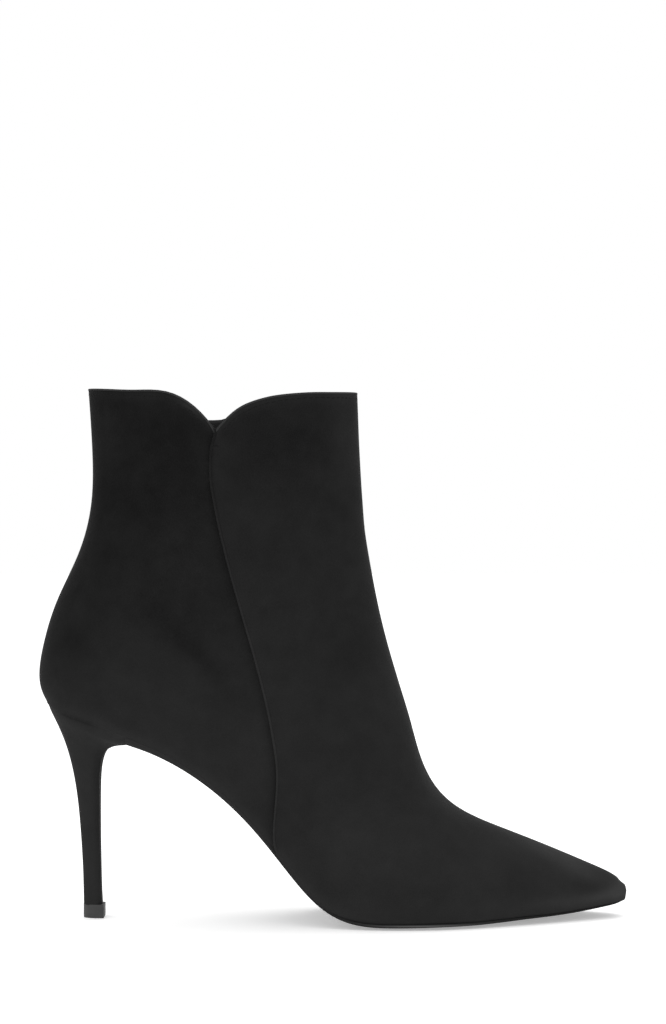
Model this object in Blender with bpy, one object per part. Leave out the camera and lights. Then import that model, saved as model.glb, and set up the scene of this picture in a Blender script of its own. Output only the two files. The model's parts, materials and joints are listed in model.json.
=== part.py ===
"""Right-foot ankle boot on a stiletto heel, built as a shoemaker puts it together.

The upper is one hollow wall drawn over the shape of the last, open at the collar and underneath.
A thin outsole, a heel with its top piece and an insole close it from below.
The tables hold millimetres in the last's own frame: x runs from the back of the heel to the toe,
y from the outer side (minus) to the inner side (plus), and z up from the floor.
"""

import bmesh
import bpy
import numpy as np

MM = 0.001

# Driving dimensions of the boot, in millimetres.
LENGTH = 231.8
WALL = 1.8
GAP = 0.3
SOLE_EDGE_MARGIN = 0.4
FLAT_FROM, FLAT_TO = 136.0, 167.0

# The front panel laps over the back panel along the side seam.
LAP_STEP = 1.0
LAP_FADE = 28.0
LAP_EDGE = 0.3

# The collar: a cut notch outside, a shallow scoop inside, and sides a little lower than front and back.
NOTCH_X, NOTCH_Z, NOTCH_DEPTH = 70.7, 191.2, 14.6
NOTCH_BACK_REACH, NOTCH_BACK_POWER = 20.0, 1.85
NOTCH_FRONT_REACH, NOTCH_FRONT_FADE = 34.0, 10.6
SCOOP_X, SCOOP_DEPTH, SCOOP_REACH = 65.0, 8.8, 36.0
COLLAR_SAG = 1.8
COLLAR_BACK_X, COLLAR_FRONT_X = 19.2, 125.4
DIP_FROM_ROW = 18.0

# Sole: station, height of the feather edge outside, how much higher it lies inside,
# centre line towards the inner side, half width before the ends are rounded, thickness.
SOLE_COLUMNS = ("x", "feather_z", "inner_rise", "centre_y", "half_width", "thickness")
SOLE = (
    (2.8, 85.3, 0.0, 0.0, 25.4, 2.0),
    (6.0, 83.4, 0.0, 0.0, 25.4, 2.0),
    (12.6, 80.9, 0.0, 0.0, 25.4, 2.0),
    (25.0, 77.2, 0.3, -0.2, 25.3, 2.0),
    (37.0, 72.2, 1.0, -0.7, 24.2, 3.4),
    (47.0, 67.8, 1.7, -1.3, 22.4, 2.6),
    (56.0, 62.8, 2.4, -2.0, 20.8, 2.2),
    (65.0, 56.9, 2.8, -2.7, 19.7, 2.2),
    (74.5, 49.3, 3.0, -3.3, 19.4, 2.3),
    (84.0, 40.1, 2.8, -3.7, 20.4, 2.4),
    (93.0, 29.4, 2.2, -3.8, 22.6, 2.3),
    (102.0, 18.2, 1.4, -3.6, 25.5, 2.3),
    (111.0, 9.6, 0.6, -3.1, 28.6, 2.6),
    (120.0, 4.9, 0.1, -2.5, 31.6, 2.9),
    (128.0, 3.4, 0.0, -1.9, 33.7, 3.0),
    (FLAT_FROM, 3.0, 0.0, -1.3, 35.2, 3.0),
    (148.0, 3.0, 0.0, -0.4, 36.2, 3.0),
    (158.0, 3.0, 0.0, 0.4, 35.6, 3.0),
    (FLAT_TO, 3.0, 0.0, 1.1, 33.9, 3.0),
    (180.0, 3.4, 0.0, 2.0, 29.6, 2.9),
    (194.0, 4.2, 0.0, 2.7, 23.8, 2.8),
    (208.0, 5.3, 0.0, 3.3, 17.2, 2.8),
    (220.0, 6.6, 0.0, 3.7, 11.2, 2.6),
    (227.0, 7.4, 0.0, 3.9, 7.6, 2.3),
    (LENGTH, 8.4, 0.0, 4.0, 5.6, 1.8),
)
HEEL_BACK_X = SOLE[0][0]
FEATHER_TOP = 120.0
HEEL_ROUND = 25.0
TOE_ROUND = 6.0
SOLE_EDGE_SHARE = 0.7
SOLE_CROWN_SHARE = 0.8
TOP_PLACES = (-1.0, -0.5, 0.0, 0.5, 1.0)
BOTTOM_PLACES = (1.0, SOLE_CROWN_SHARE, 0.4, 0.0, -0.4, -SOLE_CROWN_SHARE, -1.0)

# Sections of the upper, fanning from the toe round the instep to the collar. Each is a plane that stands
# across the boot, from its lower or back end to its upper or front end. Down to the heel's back its lower end
# lies on the sole, so back_z is the sole's height there. widest is where along the section the boot is
# broadest, outer and inner are its half widths there, and the full columns say how blunt each end is.
ON_SOLE = None
SECTION_COLUMNS = (
    "back_x", "back_z", "front_x", "front_z", "ridge_y",
    "outer", "inner", "widest", "back_full", "front_full",
)
SECTIONS = (
    (LENGTH, ON_SOLE, LENGTH, 12.4, 4.0, 6.2, 6.2, 0.35, 2.0, 2.0),
    (229.4, ON_SOLE, 229.9, 14.1, 4.0, 7.0, 7.0, 0.34, 2.0, 2.0),
    (225.0, ON_SOLE, 225.8, 17.0, 3.9, 9.4, 9.3, 0.32, 2.0, 2.0),
    (216.0, ON_SOLE, 216.8, 21.1, 3.8, 14.2, 13.8, 0.30, 2.0, 2.0),
    (202.0, ON_SOLE, 203.0, 26.9, 3.5, 21.8, 20.8, 0.28, 2.0, 2.0),
    (185.0, ON_SOLE, 186.4, 33.5, 3.0, 30.0, 28.3, 0.26, 2.0, 2.0),
    (166.0, ON_SOLE, 169.0, 40.9, 2.6, 37.4, 34.2, 0.25, 2.0, 2.0),
    (147.0, ON_SOLE, 157.4, 50.3, 2.2, 40.4, 35.8, 0.25, 2.0, 2.0),
    (128.0, ON_SOLE, 150.6, 63.1, 1.9, 39.8, 34.2, 0.27, 2.0, 2.0),
    (109.0, ON_SOLE, 146.3, 78.2, 1.5, 37.4, 32.2, 0.30, 2.0, 2.0),
    (90.0, ON_SOLE, 142.0, 92.3, 1.0, 34.8, 31.0, 0.34, 2.1, 2.1),
    (68.0, ON_SOLE, 137.5, 107.6, 0.6, 32.8, 30.6, 0.38, 2.3, 2.3),
    (45.0, ON_SOLE, 133.6, 123.6, 0.3, 31.4, 30.5, 0.41, 2.6, 2.7),
    (24.0, ON_SOLE, 130.7, 138.6, 0.1, 30.6, 30.4, 0.42, 2.9, 3.2),
    (9.5, ON_SOLE, 129.0, 148.6, 0.0, 30.4, 30.3, 0.42, 3.1, 3.5),
    (HEEL_BACK_X, ON_SOLE, 128.2, 154.8, 0.0, 30.3, 30.3, 0.42, 3.2, 3.6),
    (0.0, 93.6, 127.8, 159.8, 0.0, 30.2, 30.2, 0.42, 3.1, 3.6),
    (1.1, 106.0, 127.4, 165.4, 0.0, 30.0, 30.0, 0.43, 2.9, 3.4),
    (6.5, 124.4, 126.9, 173.0, 0.0, 30.0, 30.0, 0.44, 2.6, 3.1),
    (15.0, 143.0, 126.4, 182.0, 0.0, 30.6, 30.6, 0.46, 2.3, 2.8),
    (20.3, 163.6, 126.0, 190.8, 0.0, 31.4, 31.4, 0.48, 2.1, 2.5),
    (20.6, 186.0, 125.7, 199.2, 0.0, 32.0, 32.0, 0.49, 2.0, 2.3),
    (COLLAR_BACK_X, 208.4, COLLAR_FRONT_X, 206.9, 0.0, 32.5, 32.5, 0.50, 2.0, 2.2),
)
COLLAR_ROW = len(SECTIONS) - 1.0
HEEL_BACK_ROW = 15.0

# Side seam between the front panel and the back panel, from the feather edge up to the notch.
SEAM_COLUMNS = ("z", "x")
SEAM = (
    (24.0, 95.6),
    (29.0, 94.2),
    (35.0, 93.1),
    (43.0, 93.6),
    (57.0, 94.5),
    (78.0, 91.8),
    (98.0, 87.2),
    (118.0, 81.5),
    (142.0, 74.8),
    (160.0, 70.7),
    (175.0, 68.6),
    (183.0, 68.8),
    (NOTCH_Z, NOTCH_X),
)

# Heel: back and front ends of each level, with the half width, from the seat down to the top piece.
HEEL_COLUMNS = ("back_x", "back_z", "front_x", "front_z", "half_width")
SEAT_FRONT_X = 37.0
HEEL = (
    (HEEL_BACK_X, 85.0, SEAT_FRONT_X, 72.3, 25.2),
    (4.0, 82.3, 36.7, 69.6, 23.7),
    (6.3, 77.6, 33.2, 68.8, 19.4),
    (8.8, 72.0, 28.9, 67.8, 14.8),
    (11.1, 65.5, 25.5, 64.6, 10.9),
    (13.1, 57.5, 24.0, 57.5, 8.2),
    (14.9, 46.5, 23.8, 46.5, 6.3),
    (16.2, 32.0, 23.9, 32.0, 5.2),
    (17.0, 18.0, 24.2, 18.0, 4.6),
    (17.3, 5.6, 24.4, 5.6, 4.3),
)
HEEL_FRONT_SHARE, HEEL_FRONT_TAPER = 0.72, 0.28
TOP_PIECE_HEIGHT = 5.3
TOP_PIECE_BACK_X, TOP_PIECE_FRONT_X = 17.2, 25.9
TOP_PIECE_HALF_WIDTH = 4.5
TOP_PIECE_BEVEL = 0.4

# Insole: a thin board inside the upper, on the sole and the heel seat.
INSOLE_THICKNESS = 1.6
INSOLE_INSET = WALL + 0.9
INSOLE_TOE_SHORT = 8.0

# How finely the curved forms are faceted, and from which angle on an edge stays sharp.
FOOT_ROWS_PER_SECTION = 3
SHAFT_ROWS_PER_SECTION = 2
BACK_PANEL_COLUMNS = 7
FRONT_PANEL_COLUMNS = 4
RIDGE_COLUMNS = 5
RIDGE_GIRTH = 1.3
HEEL_RINGS_PER_LEVEL = 2
TOE_TIP_ROWS = (0.0, 0.05, 0.17)
HEEL_BACK_EASE = 0.12
SEAM_FOOT_ROWS, SEAM_FOOT_SHARE = 0.02, 0.7
CLOSED_SPACING = 8.0
STATION_ROOM, END_STATION = 1.5, 0.4
ROUND_SMOOTH_ANGLE, PLATE_SMOOTH_ANGLE = 40.0, 30.0

# Finishes: base colour, roughness and metallic value.
SUEDE = ("black_suede", (0.018, 0.018, 0.018), 0.95, 0.0)
SOLE_LEATHER = ("black_sole_leather", (0.015, 0.014, 0.014), 0.45, 0.0)
TOP_PIECE_RUBBER = ("grey_top_piece_rubber", (0.045, 0.045, 0.045), 0.6, 0.0)
INSOLE_LEATHER = ("dark_insole_leather", (0.03, 0.027, 0.025), 0.6, 0.0)


class Spline:
    """Natural cubic spline through the rows of a table, read at fractional row numbers."""

    def __init__(self, rows):
        self.rows = np.asarray(rows, float)
        count = len(self.rows)
        system = np.eye(count)
        pull = np.zeros_like(self.rows)
        for i in range(1, count - 1):
            system[i, i - 1 : i + 2] = 1.0, 4.0, 1.0
            pull[i] = 6.0 * (self.rows[i + 1] - 2.0 * self.rows[i] + self.rows[i - 1])
        self.bend = np.linalg.solve(system, pull)

    def at(self, row):
        low = min(int(row), len(self.rows) - 2)
        after = row - low
        before = 1.0 - after
        bend = (before**3 - before) * self.bend[low] + (after**3 - after) * self.bend[low + 1]
        return before * self.rows[low] + after * self.rows[low + 1] + bend / 6.0


def steady(table, column, x):
    """Cubic through one column of a table against its first, which never overshoots between rows."""
    knots = np.array([row[0] for row in table])
    values = np.array([row[column] for row in table])
    steps = np.diff(knots)
    slopes = np.diff(values) / steps
    tangents = np.zeros_like(values)
    same_way = slopes[:-1] * slopes[1:] > 0.0
    weight_a = 2.0 * steps[1:] + steps[:-1]
    weight_b = steps[1:] + 2.0 * steps[:-1]
    safe_a = np.where(same_way, slopes[:-1], 1.0)
    safe_b = np.where(same_way, slopes[1:], 1.0)
    mean = (weight_a + weight_b) / (weight_a / safe_a + weight_b / safe_b)
    tangents[1:-1] = np.where(same_way, mean, 0.0)
    tangents[0], tangents[-1] = slopes[0], slopes[-1]
    x = np.clip(np.asarray(x, float), knots[0], knots[-1])
    low = np.clip(np.searchsorted(knots, x, side="right") - 1, 0, len(steps) - 1)
    t = (x - knots[low]) / steps[low]
    return (
        values[low] * (1 + 2 * t) * (1 - t) ** 2
        + tangents[low] * steps[low] * t * (1 - t) ** 2
        + values[low + 1] * t * t * (3 - 2 * t)
        + tangents[low + 1] * steps[low] * t * t * (t - 1)
    )


def sole(column, x):
    return steady(SOLE, SOLE_COLUMNS.index(column), x)


def round_end(distance, reach):
    """Share of the full width this far from an end that is rounded over the reach."""
    left = np.clip(1.0 - np.asarray(distance, float) / reach, 0.0, 1.0)
    return np.sqrt(1.0 - left**2)


def toe_rounding(x):
    return round_end(LENGTH - np.asarray(x, float), TOE_ROUND)


def heel_rounding(x):
    return round_end(np.asarray(x, float) - HEEL_BACK_X, HEEL_ROUND)


def half_width(x):
    """Half width of the sole's outline at a station, with the heel and the toe rounded."""
    return sole("half_width", x) * heel_rounding(x) * toe_rounding(x)


def feather_z(x, across):
    """Height of the feather edge, where across runs from -1 outside to 1 inside."""
    return sole("feather_z", x) + sole("inner_rise", x) * (1.0 + across) / 2.0


def seat_z(x, y):
    """Height of the surface that the feather edges span, at a place inside the outline."""
    across = (y - sole("centre_y", x)) / sole("half_width", x)
    return feather_z(x, np.clip(across, -1.0, 1.0))


def seam_x(z):
    return steady(SEAM, SEAM_COLUMNS.index("x"), z)


def collar_dip(x, side):
    """How far the collar's edge lies below the line from its back to its front."""
    share = np.clip((x - COLLAR_BACK_X) / (COLLAR_FRONT_X - COLLAR_BACK_X), 0.0, 1.0)
    sag = COLLAR_SAG * 4.0 * share * (1.0 - share)
    if side > 0:
        near = np.clip(np.abs(x - SCOOP_X) / SCOOP_REACH, 0.0, 1.0)
        return sag + SCOOP_DEPTH * np.cos(near * np.pi / 2.0) ** 2
    behind = (1.0 - np.clip((NOTCH_X - x) / NOTCH_BACK_REACH, 0.0, 1.0)) ** NOTCH_BACK_POWER
    rest = np.exp(-NOTCH_FRONT_REACH / NOTCH_FRONT_FADE)
    ahead = np.exp(-np.clip(x - NOTCH_X, 0.0, NOTCH_FRONT_REACH) / NOTCH_FRONT_FADE)
    return sag + NOTCH_DEPTH * np.where(x < NOTCH_X, behind, (ahead - rest) / (1.0 - rest))


def section_table():
    """The sections with the sole's height filled in where their lower ends lie on it."""
    return [
        (row[0], float(feather_z(row[0], -1.0)) if row[1] is ON_SOLE else row[1], *row[2:])
        for row in SECTIONS
    ]


SECTION_SPLINE = Spline(section_table())
HEEL_SPLINE = Spline(HEEL)


def section(row):
    """The named measures of the section at a fractional row."""
    values = dict(zip(SECTION_COLUMNS, SECTION_SPLINE.at(row)))
    values["on_sole"] = row <= HEEL_BACK_ROW
    values["dip"] = np.clip((row - DIP_FROM_ROW) / (COLLAR_ROW - DIP_FROM_ROW), 0.0, 1.0) ** 2
    return values


def last_points(row, girth, side):
    """Points of the upper's outer face on one section.

    girth runs from 0 at the sole or the back, through 1 at the widest place, to 2 at the ridge or the front.
    """
    s = section(row)
    girth = np.asarray(girth, float)
    widest = s["inner" if side > 0 else "outer"]
    edge_share = 0.0
    back_z = s["back_z"]
    if s["on_sole"]:
        edge = sole("half_width", s["back_x"]) + side * (sole("centre_y", s["back_x"]) - s["ridge_y"])
        edge_share = edge * heel_rounding(s["back_x"]) / widest
        back_z = feather_z(s["back_x"], side)
    # The lower curve is an oval that closes at the back, or one that the sole cuts off where it is as wide.
    cut = (1.0 - edge_share**2) ** (1.0 / s["back_full"])
    climb = np.clip(girth, 0.0, 1.0)
    share = climb + cut**CLOSED_SPACING * (1.0 - np.cos(climb * np.pi / 2.0) - climb)
    rise = np.sqrt(np.clip(1.0 - (cut * (1.0 - share)) ** s["back_full"], 0.0, 1.0))
    turn = np.sin(np.clip(girth - 1.0, 0.0, 1.0) * np.pi / 2.0)
    fall = np.sqrt(np.clip(1.0 - turn ** s["front_full"], 0.0, 1.0))
    width = widest * toe_rounding(s["back_x"]) * np.where(girth < 1.0, rise, fall)
    along = np.where(girth < 1.0, s["widest"] * share, s["widest"] + (1.0 - s["widest"]) * turn)
    x = s["back_x"] + along * (s["front_x"] - s["back_x"])
    z = back_z + along * (s["front_z"] - back_z)
    return np.stack([x, s["ridge_y"] + side * width, z - s["dip"] * collar_dip(x, side)], axis=-1)


def seam_girth(row, side):
    """Where along the section's girth the side seam crosses it."""
    low, high = 0.0, RIDGE_GIRTH
    for _ in range(30):
        middle = (low + high) / 2.0
        x, _, z = last_points(row, middle, side)
        low, high = (middle, high) if x < seam_x(z) else (low, middle)
    return high


def seam_foot_row():
    """The row whose lower end is where the side seam meets the feather edge."""
    low, high = 0.0, HEEL_BACK_ROW
    for _ in range(30):
        middle = (low + high) / 2.0
        x = section(middle)["back_x"]
        low, high = (middle, high) if x > seam_x(feather_z(x, -1.0)) else (low, middle)
    return high


def lap(x, z):
    """How far the front panel stands proud of the last where it laps over the back panel."""
    ahead = x - seam_x(z)
    share = np.clip(ahead / LAP_FADE, 0.0, 1.0)
    return np.where(ahead < -LAP_EDGE / 3.0, 0.0, LAP_STEP * (1.0 - share**2 * (3.0 - 2.0 * share)))


def section_rows():
    """Fractional rows of the facets: closer at the toe's tip, with one where the side seam starts."""
    on_foot = np.arange(0.0, HEEL_BACK_ROW - 0.01, 1.0 / FOOT_ROWS_PER_SECTION)
    on_shaft = np.arange(HEEL_BACK_ROW, COLLAR_ROW + 0.01, 1.0 / SHAFT_ROWS_PER_SECTION)
    rows = np.concatenate([TOE_TIP_ROWS, on_foot[1:], [HEEL_BACK_ROW - HEEL_BACK_EASE], on_shaft])
    foot = seam_foot_row()
    rows[np.argmin(np.abs(rows - foot))] = foot
    return rows


def eased(start, end, count):
    """Places from start to end that lie a little closer together at both."""
    even = np.linspace(0.0, 1.0, count + 1)
    return start + (end - start) * (even + (1.0 - np.cos(np.pi * even)) / 2.0) / 2.0


class Skin:
    """A mesh under construction, which gives points that lie in one place one corner."""

    def __init__(self):
        self.mesh = bmesh.new()
        self.corners = {}
        self.lifts = {}

    def corner(self, point):
        key = tuple(np.round(np.asarray(point, float), 3))
        if key not in self.corners:
            self.corners[key] = self.mesh.verts.new(np.asarray(point) * MM)
        return self.corners[key]

    def face(self, *corners):
        ring = [c for i, c in enumerate(corners) if c is not corners[i - 1]]
        if len(set(ring)) == len(ring) >= 3:
            self.mesh.faces.new(ring)

    def patch(self, grid, flip=False):
        for above, below in zip(grid[:-1], grid[1:]):
            for i in range(len(above) - 1):
                ring = (above[i], above[i + 1], below[i + 1], below[i])
                self.face(*(reversed(ring) if flip else ring))


def upper_skin():
    """The upper's outer face without its wall, with the lift of each corner over the lap."""
    skin = Skin()
    foot = seam_foot_row()
    to_front = np.linspace(RIDGE_GIRTH, 2.0, RIDGE_COLUMNS + 1)[1:]
    for side in (-1, 1):
        front, back = [], []
        for row in section_rows():
            seam = seam_girth(row, side) if row > foot else 0.0
            to_ridge = np.linspace(seam, RIDGE_GIRTH, FRONT_PANEL_COLUMNS + 1)
            points = last_points(row, np.concatenate([to_ridge, to_front]), side)
            front.append(panel_row(skin, points, lap(points[:, 0], points[:, 2])))
            if row >= foot:
                points = back_panel_points(row, seam, side)
                back.append(panel_row(skin, points, np.zeros(len(points))) + front[-1][:1])
        skin.patch(front, flip=side > 0)
        skin.patch(back, flip=side > 0)
    return skin


def panel_row(skin, points, lifts):
    """Corners of one panel on one section, with their lifts."""
    corners = [skin.corner(p) for p in points]
    skin.lifts.update(zip(corners, lifts))
    return corners


def back_panel_points(row, seam, side):
    """Points of the back panel on one section, from the sole or the back to just behind the seam."""
    if seam == 0.0:
        return np.array([last_points(row + SEAM_FOOT_ROWS, 0.0, side)] * (BACK_PANEL_COLUMNS + 1))
    s = section(row)
    end = max(seam - 2.0 * LAP_EDGE / abs(s["front_x"] - s["back_x"]), seam * SEAM_FOOT_SHARE)
    return last_points(row, eased(0.0, end, BACK_PANEL_COLUMNS), side)


def add_wall(skin):
    """Turns the open skin into a closed wall: lifted corners outside, and a copy a wall further in."""
    mesh = skin.mesh
    bmesh.ops.recalc_face_normals(mesh, faces=mesh.faces)
    mesh.normal_update()
    faces = list(mesh.faces)
    rim_loops = [edge.link_loops[0] for edge in mesh.edges if edge.is_boundary]
    rim = [(loop.vert, loop.link_loop_next.vert) for loop in rim_loops]
    rim_corners = {corner for pair in rim for corner in pair}
    outside = list(mesh.verts)

    def moved(corner, distance):
        """A corner's place this far outward. The rims at the collar and the sole move level."""
        way = corner.normal.copy()
        if corner in rim_corners:
            way.z = 0.0
            way.normalize()
        place = corner.co + way * distance * MM
        if corner in rim_corners and corner.co.z < FEATHER_TOP * MM:
            place.z = seat_z(place.x / MM, place.y / MM) * MM
        return place

    lining = {corner: mesh.verts.new(moved(corner, -WALL)) for corner in outside}
    raised = {corner: moved(corner, skin.lifts[corner]) for corner in outside}
    for face in faces:
        mesh.faces.new([lining[v] for v in reversed(face.verts)])
    for first, second in rim:
        mesh.faces.new([second, first, lining[first], lining[second]])
    for corner, place in raised.items():
        corner.co = place


def finish_mesh(name, mesh, finish, smooth_angle=ROUND_SMOOTH_ANGLE):
    """Makes the part's object from its mesh, shaded smooth where the form is round."""
    data = bpy.data.meshes.new(name)
    mesh.normal_update()
    mesh.to_mesh(data)
    mesh.free()
    data.shade_smooth()
    data.set_sharp_from_angle(angle=np.radians(smooth_angle))
    data.materials.append(material(*finish))
    part = bpy.data.objects.new(name, data)
    parts_collection().objects.link(part)
    part.parent = bpy.data.objects["boot_frame"]
    return part


def parts_collection():
    return bpy.data.collections["ankle_boot"]


def material(name, colour, roughness, metallic):
    found = bpy.data.materials.get(name)
    if found:
        return found
    made = bpy.data.materials.new(name)
    made.use_nodes = True
    shader = made.node_tree.nodes["Principled BSDF"]
    shader.inputs["Base Color"].default_value = (*colour, 1.0)
    shader.inputs["Roughness"].default_value = roughness
    shader.inputs["Metallic"].default_value = metallic
    return made


def build_upper():
    skin = upper_skin()
    add_wall(skin)
    return finish_mesh("upper", skin.mesh, SUEDE)


def stations(start, end):
    """Stations along the sole between two ends, at the upper's rows so that the edges run side by side."""
    whole = np.array([section(row)["back_x"] for row in section_rows() if row <= HEEL_BACK_ROW])
    inside = whole[(whole > start + STATION_ROOM) & (whole < end - STATION_ROOM)]
    ends = [start, start + END_STATION, end - END_STATION, end]
    return np.sort(np.concatenate([ends, inside]))


def plate(xs, half, top, bottom):
    """A thin closed plate along the sole, with the heights of its top and bottom above the feather line."""
    skin = Skin()
    rings = []
    for x in xs:
        centre, reach = float(sole("centre_y", x)), float(half(x))
        around = [(a, top) for a in TOP_PLACES] + [(a, bottom) for a in BOTTOM_PLACES]
        ring = []
        for across, height in around + around[:1]:
            y = centre + across * reach
            ring.append(skin.corner((x, y, float(seat_z(x, y) + height(x, across)))))
        rings.append(ring)
    skin.patch(rings)
    for ring in (rings[0], rings[-1]):
        if len(set(ring)) > 3:
            skin.face(*ring[:-1])
    bmesh.ops.recalc_face_normals(skin.mesh, faces=skin.mesh.faces)
    return skin.mesh


def build_outsole():
    """Leather sole from the heel's front to the toe, its lower edge rounded, flat under the ball."""

    def half(x):
        return (sole("half_width", x) + SOLE_EDGE_MARGIN) * toe_rounding(x)

    def top(x, across):
        return -GAP

    def bottom(x, across):
        depth = sole("thickness", x) - GAP
        return -GAP - depth * (SOLE_EDGE_SHARE if abs(across) > SOLE_CROWN_SHARE else 1.0)

    mesh = plate(stations(SEAT_FRONT_X + GAP, LENGTH), half, top, bottom)
    return finish_mesh("outsole", mesh, SOLE_LEATHER, PLATE_SMOOTH_ANGLE)


def build_insole():
    """Board and sock that the foot stands on, inside the upper."""
    back, front = HEEL_BACK_X + INSOLE_INSET, LENGTH - INSOLE_TOE_SHORT

    def half(x):
        rounded = round_end(x - back, HEEL_ROUND - INSOLE_INSET) * round_end(front - x, TOE_ROUND)
        return (sole("half_width", x) - INSOLE_INSET) * rounded

    def top(x, across):
        return INSOLE_THICKNESS

    def bottom(x, across):
        return 0.0

    mesh = plate(stations(back, front), half, top, bottom)
    return finish_mesh("insole", mesh, INSOLE_LEATHER, PLATE_SMOOTH_ANGLE)


def seat_stations():
    """Stations of the heel seat from its round back to its flat front."""
    return np.concatenate([[HEEL_BACK_X], stations(HEEL_BACK_X, SEAT_FRONT_X)[1:]])


def seat_shares():
    return (seat_stations() - HEEL_BACK_X) / (SEAT_FRONT_X - HEEL_BACK_X)


def heel_level(row, shares):
    """Outer half of one level of the heel, as x, half width and z from the back to the front."""
    level = dict(zip(HEEL_COLUMNS, HEEL_SPLINE.at(row)))
    x = level["back_x"] + shares * (level["front_x"] - level["back_x"])
    z = level["back_z"] + shares * (level["front_z"] - level["back_z"])
    back = np.sqrt(1.0 - np.clip(1.0 - shares / HEEL_FRONT_SHARE, 0.0, 1.0) ** 2)
    ahead = np.clip((shares - HEEL_FRONT_SHARE) / (1.0 - HEEL_FRONT_SHARE), 0.0, 1.0)
    front = 1.0 - HEEL_FRONT_TAPER * ahead**3
    return x, level["half_width"] * back * front, z


def build_heel():
    """Stiletto heel: a cup under the heel seat that thins into a slim stem."""
    skin = Skin()
    shares = seat_shares()
    rings = []
    x = seat_stations()
    half = half_width(x)
    centre = sole("centre_y", x)
    outer = np.stack([x, centre - half, feather_z(x, -1.0) - GAP], axis=-1)
    inner = np.stack([x, centre + half, feather_z(x, 1.0) - GAP], axis=-1)
    rings.append(closed_ring(skin, outer, inner))
    for row in np.arange(1.0, len(HEEL) - 0.99, 1.0 / HEEL_RINGS_PER_LEVEL):
        x, half, z = heel_level(row, shares)
        rings.append(closed_ring(skin, np.stack([x, -half, z], -1), np.stack([x, half, z], -1)))
    skin.patch(rings)
    for ring in (rings[0], rings[-1]):
        cap_level(skin, ring)
    bmesh.ops.recalc_face_normals(skin.mesh, faces=skin.mesh.faces)
    return finish_mesh("heel", skin.mesh, SUEDE)


def closed_ring(skin, outer, inner):
    """Corners round a level: along its outer half to the front, and back along its inner half."""
    points = list(outer) + list(inner[::-1])
    corners = [skin.corner(p) for p in points]
    return corners + corners[:1]


def cap_level(skin, ring):
    """Closes a level with strips between its outer and inner halves."""
    count = (len(ring) - 1) // 2
    outer, inner = ring[:count], ring[count:-1][::-1]
    for i in range(count - 1):
        skin.face(outer[i], outer[i + 1], inner[i + 1], inner[i])


def build_top_piece():
    """Hard-wearing tip under the heel, a little longer than the stem, with its lower edge eased."""
    skin = Skin()
    shares = seat_shares()
    rings = []
    for z, inset in ((TOP_PIECE_HEIGHT, 0.0), (TOP_PIECE_BEVEL, 0.0), (0.0, TOP_PIECE_BEVEL)):
        back, front = TOP_PIECE_BACK_X + inset, TOP_PIECE_FRONT_X - inset
        x = back + shares * (front - back)
        round_back = np.sqrt(1.0 - np.clip(1.0 - shares / HEEL_FRONT_SHARE, 0.0, 1.0) ** 2)
        half = (TOP_PIECE_HALF_WIDTH - inset) * round_back
        height = np.full_like(x, z)
        rings.append(closed_ring(skin, np.stack([x, -half, height], -1), np.stack([x, half, height], -1)))
    skin.patch(rings)
    for ring in (rings[0], rings[-1]):
        cap_level(skin, ring)
    bmesh.ops.recalc_face_normals(skin.mesh, faces=skin.mesh.faces)
    return finish_mesh("heel_top_piece", skin.mesh, TOP_PIECE_RUBBER, PLATE_SMOOTH_ANGLE)


def clear_scene():
    for item in list(bpy.data.objects):
        bpy.data.objects.remove(item)


def add_frame():
    """Collection of the parts, and the empty that carries them."""
    collection = bpy.data.collections.new("ankle_boot")
    bpy.context.scene.collection.children.link(collection)
    frame = bpy.data.objects.new("boot_frame", None)
    collection.objects.link(frame)
    return frame


def centre_on_floor(frame, parts):
    """Moves the frame so that the boot's box is centred on the origin and stands on z = 0."""
    corners = np.array([v.co for part in parts for v in part.data.vertices])
    low, high = corners.min(axis=0), corners.max(axis=0)
    frame.location = (-(low[0] + high[0]) / 2.0, -(low[1] + high[1]) / 2.0, -low[2])


def main():
    clear_scene()
    frame = add_frame()
    parts = [build_upper(), build_outsole(), build_heel(), build_top_piece(), build_insole()]
    centre_on_floor(frame, parts)


main()
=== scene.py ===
# %% [markdown]
# A suede ankle boot on a slim heel, dressed for its portrait.
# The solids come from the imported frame: one wall for the upper, a thin sole, a heel, its tip and an
# insole. They have the right shape, but they are faceted and plain.
# This lesson copies each of them, smooths it, presses the creases in, and gives it its finish.

# %% Load the frame
import json
import math

import bmesh
import bpy
import numpy as np
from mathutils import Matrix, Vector
from mathutils.bvhtree import BVHTree
from mathutils.kdtree import KDTree

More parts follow.
